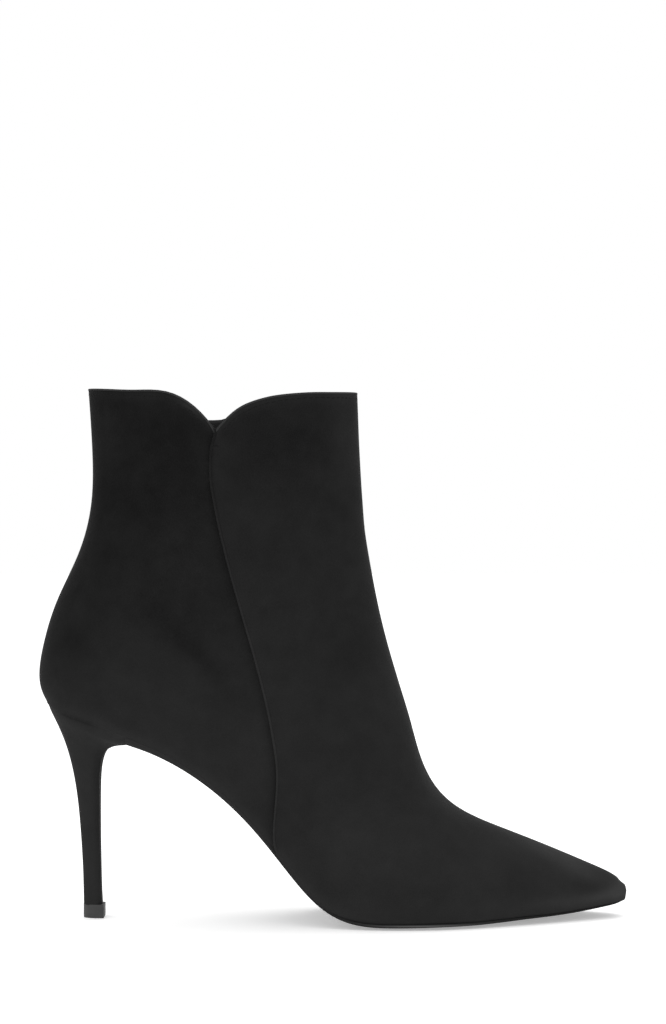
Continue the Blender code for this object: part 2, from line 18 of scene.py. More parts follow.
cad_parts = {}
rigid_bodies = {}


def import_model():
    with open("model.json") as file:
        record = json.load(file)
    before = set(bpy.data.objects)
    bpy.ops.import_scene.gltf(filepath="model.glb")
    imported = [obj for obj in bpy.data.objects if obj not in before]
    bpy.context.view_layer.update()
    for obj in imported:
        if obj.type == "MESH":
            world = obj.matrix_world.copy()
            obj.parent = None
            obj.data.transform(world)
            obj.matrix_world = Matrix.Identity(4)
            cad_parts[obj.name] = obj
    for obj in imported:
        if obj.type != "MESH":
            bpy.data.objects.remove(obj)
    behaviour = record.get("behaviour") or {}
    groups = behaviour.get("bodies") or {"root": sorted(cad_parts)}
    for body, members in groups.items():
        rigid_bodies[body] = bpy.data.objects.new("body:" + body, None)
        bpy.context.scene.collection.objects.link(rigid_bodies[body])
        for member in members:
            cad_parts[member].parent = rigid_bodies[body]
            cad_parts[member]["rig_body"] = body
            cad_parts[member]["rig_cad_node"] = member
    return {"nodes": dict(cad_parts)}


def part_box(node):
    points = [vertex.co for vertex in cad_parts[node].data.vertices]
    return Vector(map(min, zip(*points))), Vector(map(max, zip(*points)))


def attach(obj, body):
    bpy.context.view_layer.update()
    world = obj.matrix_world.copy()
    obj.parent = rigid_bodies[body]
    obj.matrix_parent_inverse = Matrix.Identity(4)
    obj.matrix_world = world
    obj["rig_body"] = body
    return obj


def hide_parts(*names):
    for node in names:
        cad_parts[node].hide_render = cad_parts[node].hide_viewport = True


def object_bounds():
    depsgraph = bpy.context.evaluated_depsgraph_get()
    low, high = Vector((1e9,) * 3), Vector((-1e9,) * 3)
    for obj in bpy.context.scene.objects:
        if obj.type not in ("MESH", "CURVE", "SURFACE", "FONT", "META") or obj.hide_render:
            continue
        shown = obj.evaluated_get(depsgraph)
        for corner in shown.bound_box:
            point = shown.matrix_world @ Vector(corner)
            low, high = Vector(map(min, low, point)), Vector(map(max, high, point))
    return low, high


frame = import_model()
cad_low, cad_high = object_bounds()
MM = 0.001
print("frame:", sorted(frame["nodes"]), "box in mm:", [round(v / MM, 1) for v in cad_high - cad_low])

# %% [markdown]
# The photograph was taken with a long lens from the outer side, level with the ankle.
# A long lens far away keeps the near and the far side of the collar almost the same size.
# The picture is taller than wide, so the camera's sensor size belongs to the height.

# %% Camera
CAMERA_DISTANCE, CAMERA_HEIGHT, CAMERA_ASIDE = 1.084, 0.160, -0.0001
LENS_MM, SENSOR_MM = 96.4, 36.0

bpy.ops.object.select_all(action="DESELECT")
bpy.ops.object.camera_add(
    location=(CAMERA_ASIDE, -CAMERA_DISTANCE, CAMERA_HEIGHT), rotation=(math.pi / 2, 0.0, 0.0)
)
camera = bpy.context.object
camera.name = "camera"
camera.data.lens = LENS_MM
camera.data.sensor_width = SENSOR_MM
bpy.context.scene.camera = camera
print("camera: lens", LENS_MM, "mm, height", CAMERA_HEIGHT, "m")

# %% [markdown]
# The boot stands on a plain white floor under soft light, with nothing behind it.
# A white world gives light from all round, as a white tent does, and the floor throws it back up at
# the underside of the foot. One large softbox above and behind draws a soft rim along the top edges.
# The floor glows a little, as a lit table does, so that it is as white as what is behind it.
# The plain colour transform keeps white paper white and black suede black.

# %% Floor and light
FLOOR_RADIUS, FLOOR_CORNERS, FLOOR_BELOW = 6.0, 96, 0.00005
FLOOR_WHITE, FLOOR_GLOW = (0.92, 0.92, 0.92, 1.0), 0.35
FULL_WHITE, WORLD_STRENGTH = (1.0, 1.0, 1.0, 1.0), 1.0
SOFTBOX_PLACE, SOFTBOX_TARGET = Vector((0.1, 0.5, 1.3)), Vector((0.0, 0.0, 0.1))
SOFTBOX_SIZE, SOFTBOX_WATTS = 1.2, 6.0

bpy.context.scene.view_settings.view_transform = "Standard"
bpy.ops.object.select_all(action="DESELECT")
bpy.ops.mesh.primitive_circle_add(
    vertices=FLOOR_CORNERS, radius=FLOOR_RADIUS, fill_type="NGON", location=(0.0, 0.0, -FLOOR_BELOW)
)
floor = bpy.context.object
floor.name = "floor"
white = bpy.data.materials.new("white_floor")
white.use_nodes = True
paper = white.node_tree.nodes["Principled BSDF"].inputs
paper["Base Color"].default_value = FLOOR_WHITE
paper["Roughness"].default_value = 0.8
paper["Specular IOR Level"].default_value = 0.0
paper["Emission Color"].default_value = FULL_WHITE
paper["Emission Strength"].default_value = FLOOR_GLOW
floor.data.materials.append(white)

world = bpy.data.worlds.new("white_tent")
world.use_nodes = True
tent = world.node_tree.nodes["Background"].inputs
tent["Color"].default_value = FULL_WHITE
tent["Strength"].default_value = WORLD_STRENGTH
bpy.context.scene.world = world

bpy.ops.object.light_add(type="AREA", location=SOFTBOX_PLACE)
softbox = bpy.context.object
softbox.name = "top_softbox"
softbox.data.size = SOFTBOX_SIZE
softbox.data.energy = SOFTBOX_WATTS
softbox.rotation_euler = (SOFTBOX_TARGET - SOFTBOX_PLACE).to_track_quat("-Z", "Y").to_euler()
print("stage: floor of", FLOOR_RADIUS, "m, world of strength", WORLD_STRENGTH)

# %% [markdown]
# Each piece starts as a copy of its solid, because the boot's shape is right there already.
# The solid's mesh is loose triangles, so the copy is merged, and its triangles are joined into quads
# again. Edges that should stay crisp then get a crease.

# %% Helpers to copy a solid
MERGE_DISTANCE = 0.000002
JOIN_FACE_ANGLE, JOIN_SHAPE_ANGLE = 1.2, 3.1
FULL_CREASE = 1.0


def alone(piece):
    """Makes a piece the only selected object, and the active one."""
    bpy.ops.object.select_all(action="DESELECT")
    piece.select_set(True)
    bpy.context.view_layer.objects.active = piece


def copy_of(node, name):
    """A merged copy of a solid, in quads, with no material."""
    alone(frame["nodes"][node])
    bpy.ops.object.duplicate()
    piece = bpy.context.object
    bpy.ops.object.parent_clear(type="CLEAR_KEEP_TRANSFORM")
    piece.name = name
    piece.data.name = name
    piece.data.materials.clear()
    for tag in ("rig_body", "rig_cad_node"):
        del piece[tag]
    bpy.ops.object.mode_set(mode="EDIT")
    bpy.ops.mesh.select_all(action="SELECT")
    bpy.ops.mesh.customdata_custom_splitnormals_clear()
    bpy.ops.mesh.remove_doubles(threshold=MERGE_DISTANCE)
    bpy.ops.mesh.tris_convert_to_quads(face_threshold=JOIN_FACE_ANGLE, shape_threshold=JOIN_SHAPE_ANGLE)
    bpy.ops.object.mode_set(mode="OBJECT")
    return piece


def select_edges(piece, wanted):
    """Enters edit mode with the edges selected that a test picks."""
    alone(piece)
    bpy.ops.object.mode_set(mode="EDIT")
    bpy.ops.mesh.select_mode(type="EDGE")
    bpy.ops.mesh.select_all(action="DESELECT")
    mesh = bmesh.from_edit_mesh(piece.data)
    for edge in mesh.edges:
        edge.select_set(len(edge.link_faces) == 2 and wanted(edge))
    bmesh.update_edit_mesh(piece.data)


def crease(piece, wanted, value=FULL_CREASE, sharp=False):
    """Gives the edges that a test picks a crease, so that they stay crisp when the piece is rounded."""
    select_edges(piece, wanted)
    bpy.ops.transform.edge_crease(value=value)
    if sharp:
        bpy.ops.mesh.mark_sharp()
    bpy.ops.object.mode_set(mode="OBJECT")


def turn_of(edge):
    """Angle in degrees by which the surface turns outwards over an edge, negative in a hollow."""
    return math.degrees(edge.calc_face_angle_signed(0.0))


print("solids to copy:", len(frame["nodes"]))

# %% [markdown]
# A Subdivision Surface rounds a copy, as leather rounds over a last. Rounding draws the corners in, so
# they can first be pushed out by as much as a trial rounding draws them in: straight out of the
# surface, and along creased edges any way. That way the upper keeps the size of its solid.

# %% Helpers to round a copy
ROUNDING_LEVELS = 2
UPPER_TRIALS = 2


def places_of(mesh, count):
    """The places of a mesh's first corners, as an array."""
    places = np.empty(len(mesh.vertices) * 3)
    mesh.vertices.foreach_get("co", places)
    return places.reshape(-1, 3)[:count]


def corners_of(piece):
    """The places and normals of a piece's corners, as arrays."""
    count = len(piece.data.vertices)
    normals = np.empty(count * 3)
    piece.data.vertex_normals.foreach_get("vector", normals)
    return places_of(piece.data, count), normals.reshape(-1, 3)


def move_corners(piece, places):
    """Gives the corners of a piece new places."""
    piece.data.vertices.foreach_set("co", np.asarray(places).ravel())
    piece.data.update()


def creased_corners(piece):
    """True for each corner that a creased edge reaches."""
    creased = np.zeros(len(piece.data.vertices), bool)
    values = piece.data.attributes.get("crease_edge")
    for edge in piece.data.edges if values else ():
        if values.data[edge.index].value > 0.0:
            creased[list(edge.vertices)] = True
    return creased


def subdivide(piece, trials=0):
    """Rounds a piece with a Subdivision Surface, after trials that keep its size."""
    alone(piece)
    rounding = piece.modifiers.new("rounding", "SUBSURF")
    rounding.levels = ROUNDING_LEVELS
    rounding.render_levels = ROUNDING_LEVELS
    wanted, normals = corners_of(piece)
    pushed = wanted.copy()
    any_way = creased_corners(piece)[:, None]
    for _ in range(trials):
        trial = piece.evaluated_get(bpy.context.evaluated_depsgraph_get())
        push = wanted - places_of(trial.data, len(wanted))
        straight_out = (push * normals).sum(axis=1, keepdims=True) * normals
        pushed += np.where(any_way, push, straight_out)
        move_corners(piece, pushed)
    bpy.ops.object.modifier_apply(modifier=rounding.name)
    bpy.ops.object.shade_smooth()
    print(piece.name, "has", len(piece.data.polygons), "faces")


print("rounding: level", ROUNDING_LEVELS)

# %% [markdown]
# The upper's edges are of three kinds: the collar, the feather edge where the upper meets the sole, and
# the lap, where the front panel ends on top of the back panel. All of them stay crisp, so that the
# folded edges that are laid along them later fit. A test for each kind finds them by how sharply the
# surface turns there, and by where they are.

# %% Upper: edges
COLLAR_FROM_Z, COLLAR_FACING_UP, UPRIGHT_BELOW = 0.150, 0.4, 0.6
SHARP_TURN, LAP_TURN = 38.0, 28.0
FEATHER_CREASE = 0.85
LAP_BACK_LIMIT_X, LAP_FRONT_LIMIT_X = cad_low.x + 0.060, cad_low.x + 0.120


def upright(face):
    """True for a face that stands up, as the walls do."""
    return abs(face.normal.z) < UPRIGHT_BELOW


def collar_top(face):
    """True for a face of the collar's top."""
    return face.normal.z > COLLAR_FACING_UP and face.calc_center_median().z > COLLAR_FROM_Z


def on_collar(edge):
    """True for an edge of the collar's top."""
    return abs(turn_of(edge)) > SHARP_TURN and any(collar_top(f) for f in edge.link_faces)


def on_lap(edge):
    """True for an edge of the step between the two panels."""
    sharp = abs(turn_of(edge)) > LAP_TURN and all(upright(f) for f in edge.link_faces)
    return sharp and LAP_BACK_LIMIT_X < edge.verts[0].co.x < LAP_FRONT_LIMIT_X


def on_feather(edge):
    """True for a sharp edge at the foot of the wall."""
    return abs(turn_of(edge)) > SHARP_TURN and not on_lap(edge) and not on_collar(edge)


upper = copy_of("upper", "suede_upper")
crease(upper, on_collar)
crease(upper, on_lap)
crease(upper, on_feather, FEATHER_CREASE)
print("upper:", int(creased_corners(upper).sum()), "corners on crisp edges")

# %% [markdown]
# The inside of the wall becomes the lining: a flood from one face in there, which stops at sharp edges,
# finds all of it. It gets a material slot of its own.

# %% Upper: lining
LINING_SLOT = 1
SHIN_FACING_BACK = -0.8


def flood_inside(piece):
    """Selects the inner face of the wall, from a seed on the inside of the shin."""
    select_edges(piece, lambda edge: abs(turn_of(edge)) > SHARP_TURN)
    bpy.ops.mesh.mark_sharp()
    bpy.ops.mesh.select_mode(type="FACE")
    bpy.ops.mesh.select_all(action="DESELECT")
    mesh = bmesh.from_edit_mesh(piece.data)
    backward = [f for f in mesh.faces if f.normal.x < SHIN_FACING_BACK]
    shin = [f for f in backward if f.calc_center_median().z > COLLAR_FROM_Z]
    seed = max(shin, key=lambda f: f.calc_center_median().x)
    seed.select_set(True)
    mesh.faces.active = seed
    bmesh.update_edit_mesh(piece.data)
    bpy.ops.mesh.select_linked(delimit={"SHARP"})


upper.data.materials.append(None)
upper.data.materials.append(None)
flood_inside(upper)
upper.active_material_index = LINING_SLOT
bpy.ops.object.material_slot_assign()
bpy.ops.mesh.select_all(action="SELECT")
bpy.ops.mesh.select_mode(type="EDGE")
bpy.ops.mesh.mark_sharp(clear=True)
bpy.ops.object.mode_set(mode="OBJECT")
lining_faces = sum(p.material_index == LINING_SLOT for p in upper.data.polygons)
print("lining:", lining_faces, "of", len(upper.data.polygons), "faces")

# %% [markdown]
# Creases, nap and stitches are placed along the boot's own lines: the lap, the collar's edge and the
# feather edge. They are measured on the copy before it is rounded, so they follow the solids.
# The outer side of this right boot has the lower y.

# %% Measured lines
OUTER_SIDE, INNER_SIDE = -1, 1
SIDES = (OUTER_SIDE, INNER_SIDE)
SHAFT_X = cad_low.x + 0.0715


def beside_lining(edge):
    """True for an edge that the lining reaches."""
    return any(f.material_index == LINING_SLOT for f in edge.link_faces)


def outward(edge, wanted):
    """True for an outward edge of the outer skin that a test picks."""
    return turn_of(edge) > 0.0 and not beside_lining(edge) and wanted(edge)


def outer_corners(piece, wanted):
    """The ends of the outward edges that a test picks, each once."""
    mesh = bmesh.new()
    mesh.from_mesh(piece.data)
    mesh.normal_update()
    corners = set()
    for edge in mesh.edges:
        if len(edge.link_faces) == 2 and outward(edge, wanted):
            corners.update(tuple(v.co) for v in edge.verts)
    mesh.free()
    return corners


def by_side(corners, order):
    """Corners of each side in an order, as arrays."""
    return {s: np.array(sorted((c for c in corners if c[1] * s > 0.0), key=order)) for s in SIDES}


def round_shaft(corner):
    """The direction of a corner from the middle of the shaft, as an angle seen from above."""
    return math.atan2(corner[1], corner[0] - SHAFT_X)


LAPS = by_side(outer_corners(upper, on_lap), lambda c: c[2])
FEATHERS = by_side(outer_corners(upper, on_feather), lambda c: c[0])
COLLAR = np.array(sorted(outer_corners(upper, on_collar), key=round_shaft))
print("lap:", [len(v) for v in LAPS.values()], "feather:", [len(v) for v in FEATHERS.values()])
print("collar:", len(COLLAR), "corners")

# %% [markdown]
# A folded edge catches the light as a thin line: along the lap, and all round the collar. Each line is
# made from the upper's own edges. They are sunk a little into the wall, copied out, rounded as the
# upper will be, and given a round thickness like a cord, so that only a narrow rounded edge shows.

# %% Folded edges
LAP_FOLD_RADIUS, LAP_FOLD_SUNK = 0.00048, 0.00036
COLLAR_FOLD_RADIUS, COLLAR_FOLD_SUNK = 0.00042, 0.00034
FOLD_ROUNDNESS = 2


def folded_edge(piece, wanted, name, radius, sunk):
    """A thin roll along the outward edges that a test picks."""
    alone(piece)
    bpy.ops.object.duplicate()
    spare = bpy.context.object
    select_edges(spare, lambda edge: outward(edge, wanted))
    bpy.ops.transform.shrink_fatten(value=-sunk)
    bpy.ops.mesh.duplicate()
    bpy.ops.mesh.separate(type="SELECTED")
    bpy.ops.object.mode_set(mode="OBJECT")
    fold = next(o for o in bpy.context.selected_objects if o is not spare)
    alone(spare)
    bpy.ops.object.delete()
    fold.name = name
    fold.data.name = name
    fold.data.materials.clear()
    subdivide(fold, UPPER_TRIALS)
    bpy.ops.object.convert(target="CURVE")
    fold.data.bevel_depth = radius
    fold.data.bevel_resolution = FOLD_ROUNDNESS
    fold.data.use_fill_caps = True
    bpy.ops.object.convert(target="MESH")
    bpy.ops.object.shade_smooth()
    print(name, "has", len(fold.data.polygons), "faces")
    return fold


lap_fold = folded_edge(upper, on_lap, "lap_fold", LAP_FOLD_RADIUS, LAP_FOLD_SUNK)
collar_fold = folded_edge(upper, on_collar, "collar_fold", COLLAR_FOLD_RADIUS, COLLAR_FOLD_SUNK)

# %% [markdown]
# The stitching of a lap pulls the panel under it in, so the foot of the lap is pressed into a groove,
# which holds a shadow as it does on the real boot. At the forefoot the suede is drawn down over the top
# of the sole, so that only a thin edge of leather shows below it. One table, in millimetres from the
# back of the heel, says how far the suede comes down, how far the sole's top rises to meet it or is let
# down, and how far the sole's underside is lifted where it starts to curve up towards the toe.

# %% Upper: groove and feather edge
LAP_GROOVE = 0.0003
EDGE_BY_X = (
    ("x", "suede_drop", "sole_top", "sole_lift"),
    (85.0, 0.0, 0.60, 0.0),
    (92.0, 0.0, 0.40, 0.0),
    (98.0, 0.28, 0.04, 0.0),
    (105.0, 0.72, -0.42, 0.0),
    (112.0, 0.92, -0.62, 0.0),
    (125.0, 0.95, -0.65, 0.0),
    (145.0, 0.83, -0.53, 0.14),
    (165.0, 0.58, -0.28, 0.40),
    (190.0, 0.65, -0.35, 0.50),
    (203.0, 1.38, -1.08, 0.12),
    (216.0, 1.50, -1.20, 0.0),
)


def read_table(table, at, wanted):
    """A named column of a table, where the first column has these values in millimetres."""
    columns, rows = table[0], np.array(table[1:])
    return np.interp(at / MM, rows[:, 0], rows[:, columns.index(wanted)])


def edge_shift(x, wanted):
    """A column of the edge table at places along the boot, all in metres."""
    return read_table(EDGE_BY_X, x - cad_low.x, wanted) * MM


select_edges(upper, lambda edge: on_lap(edge) and turn_of(edge) < 0.0)
bpy.ops.transform.shrink_fatten(value=-LAP_GROOVE)
bpy.ops.object.mode_set(mode="OBJECT")
select_edges(upper, on_feather)
feather_marks = np.array([v.select for v in bmesh.from_edit_mesh(upper.data).verts])
bpy.ops.object.mode_set(mode="OBJECT")
places, normals = corners_of(upper)
places[:, 2] -= feather_marks * edge_shift(places[:, 0], "suede_drop")
move_corners(upper, places)
subdivide(upper, UPPER_TRIALS)
print("feather edge:", int(feather_marks.sum()), "corners")

# %% [markdown]
# The toe ends in a soft point, because the suede is pulled tight over the tip of the last. The rounded
# copy is a little blunt there, so its tip is moved forward or back by a second table, by height.

# %% Upper: toe
TOE_FILL = (
    ("z", "forward"),
    (7.1, 0.0),
    (8.5, 0.28),
    (10.1, 0.43),
    (11.3, 0.16),
    (12.1, -0.15),
    (13.0, -0.50),
    (14.2, -0.60),
    (15.5, 0.0),
)
TOE_FROM_X, TOE_TO_X = cad_low.x + 0.2265, cad_low.x + 0.2316


def ease(value, start, end):
    """Goes smoothly from 0 at start to 1 at end."""
    share = np.clip((value - start) / (end - start), 0.0, 1.0)
    return share * share * (3.0 - 2.0 * share)


places, normals = corners_of(upper)
fill = read_table(TOE_FILL, places[:, 2], "forward") * MM
fill *= ease(places[:, 0], TOE_FROM_X, TOE_TO_X)
places[:, 0] += fill
move_corners(upper, places)
print("toe: moved by up to", round(float(np.abs(fill).max()) / MM, 2), "mm")

# %% [markdown]
# A stiff counter moulds the back of the boot over the heel in one smooth curve. The solid's sections fan
# out there, and where two fans meet they leave thin faces along a faint fold. Averaging would flatten
# the curve, so the corners of the outer skin first slide along the surface until they are evenly spread.
# A share says how much of each move a corner takes, so that it fades out towards the edges.

# %% Upper: counter, corners spread evenly
COUNTER_TO_X, COUNTER_TO_Z, COUNTER_SOFT = cad_low.x + 0.056, 0.116, 0.014
COUNTER_REACH, COUNTER_NEAR, COUNTER_FROM_EDGE = 0.0035, 2.5, 0.0012
COUNTER_SLIDES, SLIDE_STEP = 80, 0.5


def lining_corners(piece):
    """True for each corner that only the lining's faces use."""
    outside = np.zeros(len(piece.data.vertices), bool)
    for face in piece.data.polygons:
        if face.material_index != LINING_SLOT:
            outside[list(face.vertices)] = True
    return ~outside


def on_line(lines, side_of, at, known, wanted):
    """Reads a measured line of each side: the wanted coordinate where the known one has these values."""
    read = {s: np.interp(at, lines[s][:, known], lines[s][:, wanted]) for s in SIDES}
    return np.where(side_of < 0.0, read[OUTER_SIDE], read[INNER_SIDE])


def above_feather(x, y, z):
    """How high places are above the feather edge of their side."""
    return z - on_line(FEATHERS, y, x, 0, 2)


def areas_of(piece):
    """The share of the skin's area that belongs to each corner."""
    areas = np.zeros(len(piece.data.vertices))
    for face in piece.data.polygons:
        areas[list(face.vertices)] += face.area / len(face.vertices)
    return areas


def out_of(normals, areas, away):
    """The mean direction out of the skin around a corner, and how much each place around it counts."""
    weight = areas * np.exp(-(away**2).sum(axis=1) / (2.0 * COUNTER_REACH**2))
    out = normals.T @ weight
    return out / np.linalg.norm(out), weight


def for_each(wanted, skin, piece, work):
    """What some work gives for each wanted corner, from the places of the skin around it."""
    places, normals = corners_of(piece)
    areas = areas_of(piece)
    tree = KDTree(len(skin))
    for i in skin:
        tree.insert(places[i], i)
    tree.balance()
    given = np.zeros_like(places)
    for i in wanted:
        found = tree.find_range(places[i], COUNTER_NEAR * COUNTER_REACH)
        near = np.array([j for _, j, _ in found])
        given[i] = work(normals[near], areas[near], places[near] - places[i])
    return given


places = corners_of(upper)[0]
x, y, z = places.copy().T
above = above_feather(x, y, z)
skin = (above > 0.0) & (x < COUNTER_TO_X + COUNTER_SOFT) & (z < COUNTER_TO_Z + COUNTER_SOFT)
skin = np.flatnonzero(skin & ~lining_corners(upper))
share = (1.0 - ease(x, COUNTER_TO_X - COUNTER_SOFT, COUNTER_TO_X)) * ease(above, 0.0, COUNTER_FROM_EDGE)
share = (share * (1.0 - ease(z, COUNTER_TO_Z - COUNTER_SOFT, COUNTER_TO_Z)))[:, None]
counter = skin[share[skin, 0] > 0.0]
outs = for_each(counter, skin, upper, lambda *around: out_of(*around)[0])
ends = np.array([edge.vertices[:] for edge in upper.data.edges])
ends = ends[np.isin(ends, counter).any(axis=1)]
ends = np.vstack((ends, ends[:, ::-1]))
counts = np.maximum(np.bincount(ends[:, 0], minlength=len(x)), 1)[:, None]
for _ in range(COUNTER_SLIDES):
    pull = np.zeros_like(places)
    np.add.at(pull, ends[:, 0], places[ends[:, 1]] - places[ends[:, 0]])
    pull -= (pull * outs).sum(axis=1, keepdims=True) * outs
    places[counter] += (SLIDE_STEP * share * pull / counts)[counter]
move_corners(upper, places)
print("counter:", len(counter), "corners spread")

# %% [markdown]
# Now each corner of the counter moves onto a small curved patch, a bowl of second degree, that is fitted
# through the skin around it. Places near the corner and those that stand for more of the skin count most.

# %% Upper: counter, fitted patches
def patch_shift(normals, areas, away):
    """The way from a corner to a curved patch that is fitted through the places around it."""
    out, weight = out_of(normals, areas, away)
    across = np.cross(out, (0.0, 0.0, 1.0))
    u, v = away @ across / COUNTER_REACH, away @ np.cross(across, out) / COUNTER_REACH
    terms = np.stack((np.ones_like(u), u, v, u * u, u * v, v * v), axis=1)
    counted = np.sqrt(weight)
    fit = np.linalg.lstsq(terms * counted[:, None], (away @ out) * counted, rcond=None)[0]
    return fit[0] * out


shifts = share * for_each(counter, skin, upper, patch_shift)
move_corners(upper, places + shifts)
print("counter: corners moved by up to", round(float(np.abs(shifts).max()) / MM, 2), "mm")

# %% [markdown]
# The solids stand a hair apart, so that they are clean solids. On the real boot the suede runs from the
# upper over the heel with no gap, so the heel's upper faces are raised until they close on the upper.
# The lip, the thin front end of the heel's seat, comes down a little to meet the sole. The foot of the
# stem flares forward over its tip.

# %% Heel
SEAT_RISE, SEAT_INSIDE = 0.00065, 0.00012
STEM_FOOT_HIGH, STEM_DROP, STEM_FLARE, FLARE_TO_Z = 0.0002, 0.00050, 0.00055, 0.013
LIP_DROP, LIP_FROM_X, LIP_TO_X, LIP_FROM_Z = 0.00010, cad_low.x + 0.032, cad_low.x + 0.036, 0.068
FACING_UP, HEEL_TURN = 0.3, 50.0


def top_corners(piece):
    """True for each corner of a piece's upward faces."""
    tops = np.zeros(len(piece.data.vertices), bool)
    for face in piece.data.polygons:
        if face.normal.z > FACING_UP:
            tops[list(face.vertices)] = True
    return tops


heel = copy_of("heel", "wrapped_heel")
tops = top_corners(heel)
places, normals = corners_of(heel)
places[:, 2] += tops * SEAT_RISE
places[:, :2] -= tops[:, None] * normals[:, :2] * SEAT_INSIDE
stem_foot = places[:, 2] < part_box("heel")[0].z + STEM_FOOT_HIGH
in_front = places[:, 0] > places[stem_foot, 0].mean()
places[:, 0] += in_front * STEM_FLARE * (1.0 - ease(places[:, 2], 0.0, FLARE_TO_Z))
places[:, 2] -= stem_foot * STEM_DROP
lip = ~tops & (places[:, 2] > LIP_FROM_Z)
places[:, 2] -= lip * LIP_DROP * ease(places[:, 0], LIP_FROM_X, LIP_TO_X)
move_corners(heel, places)
crease(heel, lambda edge: abs(turn_of(edge)) > HEEL_TURN, sharp=True)
subdivide(heel)

# %% [markdown]
# The sole is glued on, so its upper face closes on the upper too. At the waist its side is drawn in
# flush with the suede, and at the forefoot its top is let down to the drawn-down suede, by the table
# above. Its back end is thinned and tucked under the heel's lip, so that the arch runs on smoothly.

# %% Sole
WAIST_FROM_X, WAIST_TO_X, WAIST_FLUSH = cad_low.x + 0.085, cad_low.x + 0.108, 0.00038
SOLE_BACK_END_X, SOLE_TUCK, SOLE_TUCK_RISE = cad_low.x + 0.0378, 0.0017, 0.00038
SOLE_SIDE_Y, SOLE_SIDE_THINNED, SOLE_THINNED = 0.022, 0.0017, 0.00035
FACING_ASIDE, SOLE_TURN = 0.3, 30.0

outsole = copy_of("outsole", "leather_outsole")
tops = top_corners(outsole)
places, normals = corners_of(outsole)
waist = 1.0 - ease(places[:, 0], WAIST_FROM_X, WAIST_TO_X)
top_shift, lift = (edge_shift(places[:, 0], wanted) for wanted in ("sole_top", "sole_lift"))
places[:, 2] += np.where(tops, top_shift, lift)
beside = np.abs(normals[:, 1]) > FACING_ASIDE
places[:, 1] -= np.sign(places[:, 1]) * beside * WAIST_FLUSH * waist
back_end = places[:, 0] < SOLE_BACK_END_X
places[:, 0] -= back_end * SOLE_TUCK
thinned = np.where(np.abs(places[:, 1]) > SOLE_SIDE_Y, SOLE_SIDE_THINNED, SOLE_THINNED)
places[:, 2] += back_end * np.where(tops, SOLE_TUCK_RISE, thinned)
move_corners(outsole, places)
crease(outsole, lambda edge: abs(turn_of(edge)) > SOLE_TURN, sharp=True)
subdivide(outsole)

# %% [markdown]
# The heel's tip is a small block of rubber, cut flush with the stem, with only a narrow bevel round its
# foot. So the foot is brought out almost to the sides, and its front is trimmed.
# The insole needs nothing but softer edges, because the sock is stretched over it.

# %% Heel tip and insole
TIP_FOOT_Z, TIP_RING_TO_Z, TIP_BEVEL = 0.0001, 0.001, 0.25
TIP_FACING_FRONT, TIP_FRONT_TRIM, TIP_TURN = 0.3, 0.00035, 30.0
INSOLE_TURN, INSOLE_CREASE = 40.0, 0.7

top_piece = copy_of("heel_top_piece", "rubber_top_piece")
places, normals = corners_of(top_piece)
side_ring = places[(places[:, 2] > TIP_FOOT_Z) & (places[:, 2] < TIP_RING_TO_Z)]
for i in np.flatnonzero(places[:, 2] < TIP_FOOT_Z):
    above = side_ring[np.argmin(np.linalg.norm(side_ring - places[i], axis=1))]
    places[i, :2] = above[:2] + (places[i, :2] - above[:2]) * TIP_BEVEL
places[:, 0] -= (normals[:, 0] > TIP_FACING_FRONT) * TIP_FRONT_TRIM
move_corners(top_piece, places)
crease(top_piece, lambda edge: abs(turn_of(edge)) > TIP_TURN, sharp=True)
subdivide(top_piece)
insole = copy_of("insole", "sock_insole")
crease(insole, lambda edge: abs(turn_of(edge)) > INSOLE_TURN, INSOLE_CREASE)
subdivide(insole)

# %% [markdown]
# The boot has hardly been worn. The suede has only a few soft creases: a long one that slants down the
# back panel towards the lap, a short one above the heel, and shallow ones where the ankle bends. Each
# row of the table is one trough, with its two ends in the side view, its half width and its depth, in
# millimetres from the back of the heel and from the floor. A low ridge runs beside each trough, where
# the leather that was pressed in comes up again. Each trough runs out softly past its two ends.

# %% Creases
CREASES = (
    ("side", "x_from", "z_from", "x_to", "z_to", "half_width", "depth"),
    (OUTER_SIDE, 47.0, 122.0, 76.0, 92.0, 3.8, 0.60),
    (OUTER_SIDE, 12.0, 112.0, 24.0, 105.0, 4.0, 0.40),
    (OUTER_SIDE, 116.0, 108.0, 128.0, 98.0, 5.0, 0.35),
    (OUTER_SIDE, 118.0, 86.0, 132.0, 74.0, 5.0, 0.30),
    (INNER_SIDE, 50.0, 118.0, 74.0, 96.0, 6.0, 0.50),
    (INNER_SIDE, 114.0, 100.0, 130.0, 84.0, 6.0, 0.35),
)
RIDGE_SHARE, RIDGE_AWAY, RUN_OUT = 0.35, 2.0, 0.15


def rows_of(table):
    """The rows of a table, each with the names of its columns."""
    return [dict(zip(table[0], values)) for values in table[1:]]


def trough(x, z, row):
    """Depth of one crease at places in the side view, with its ridge as a negative depth."""
    start = np.array((cad_low.x + row["x_from"] * MM, row["z_from"] * MM))
    run = np.array((cad_low.x + row["x_to"] * MM, row["z_to"] * MM)) - start
    length = np.hypot(*run)
    along = ((x - start[0]) * run[0] + (z - start[1]) * run[1]) / length**2
    aside = ((z - start[1]) * run[0] - (x - start[0]) * run[1]) / length / (row["half_width"] * MM)
    fade = np.sin(np.pi * np.clip((along + RUN_OUT) / (1.0 + 2.0 * RUN_OUT), 0.0, 1.0))
    ridge = RIDGE_SHARE * np.exp(-((aside - RIDGE_AWAY) ** 2))
    return row["depth"] * MM * fade * (np.exp(-(aside**2)) - ridge)


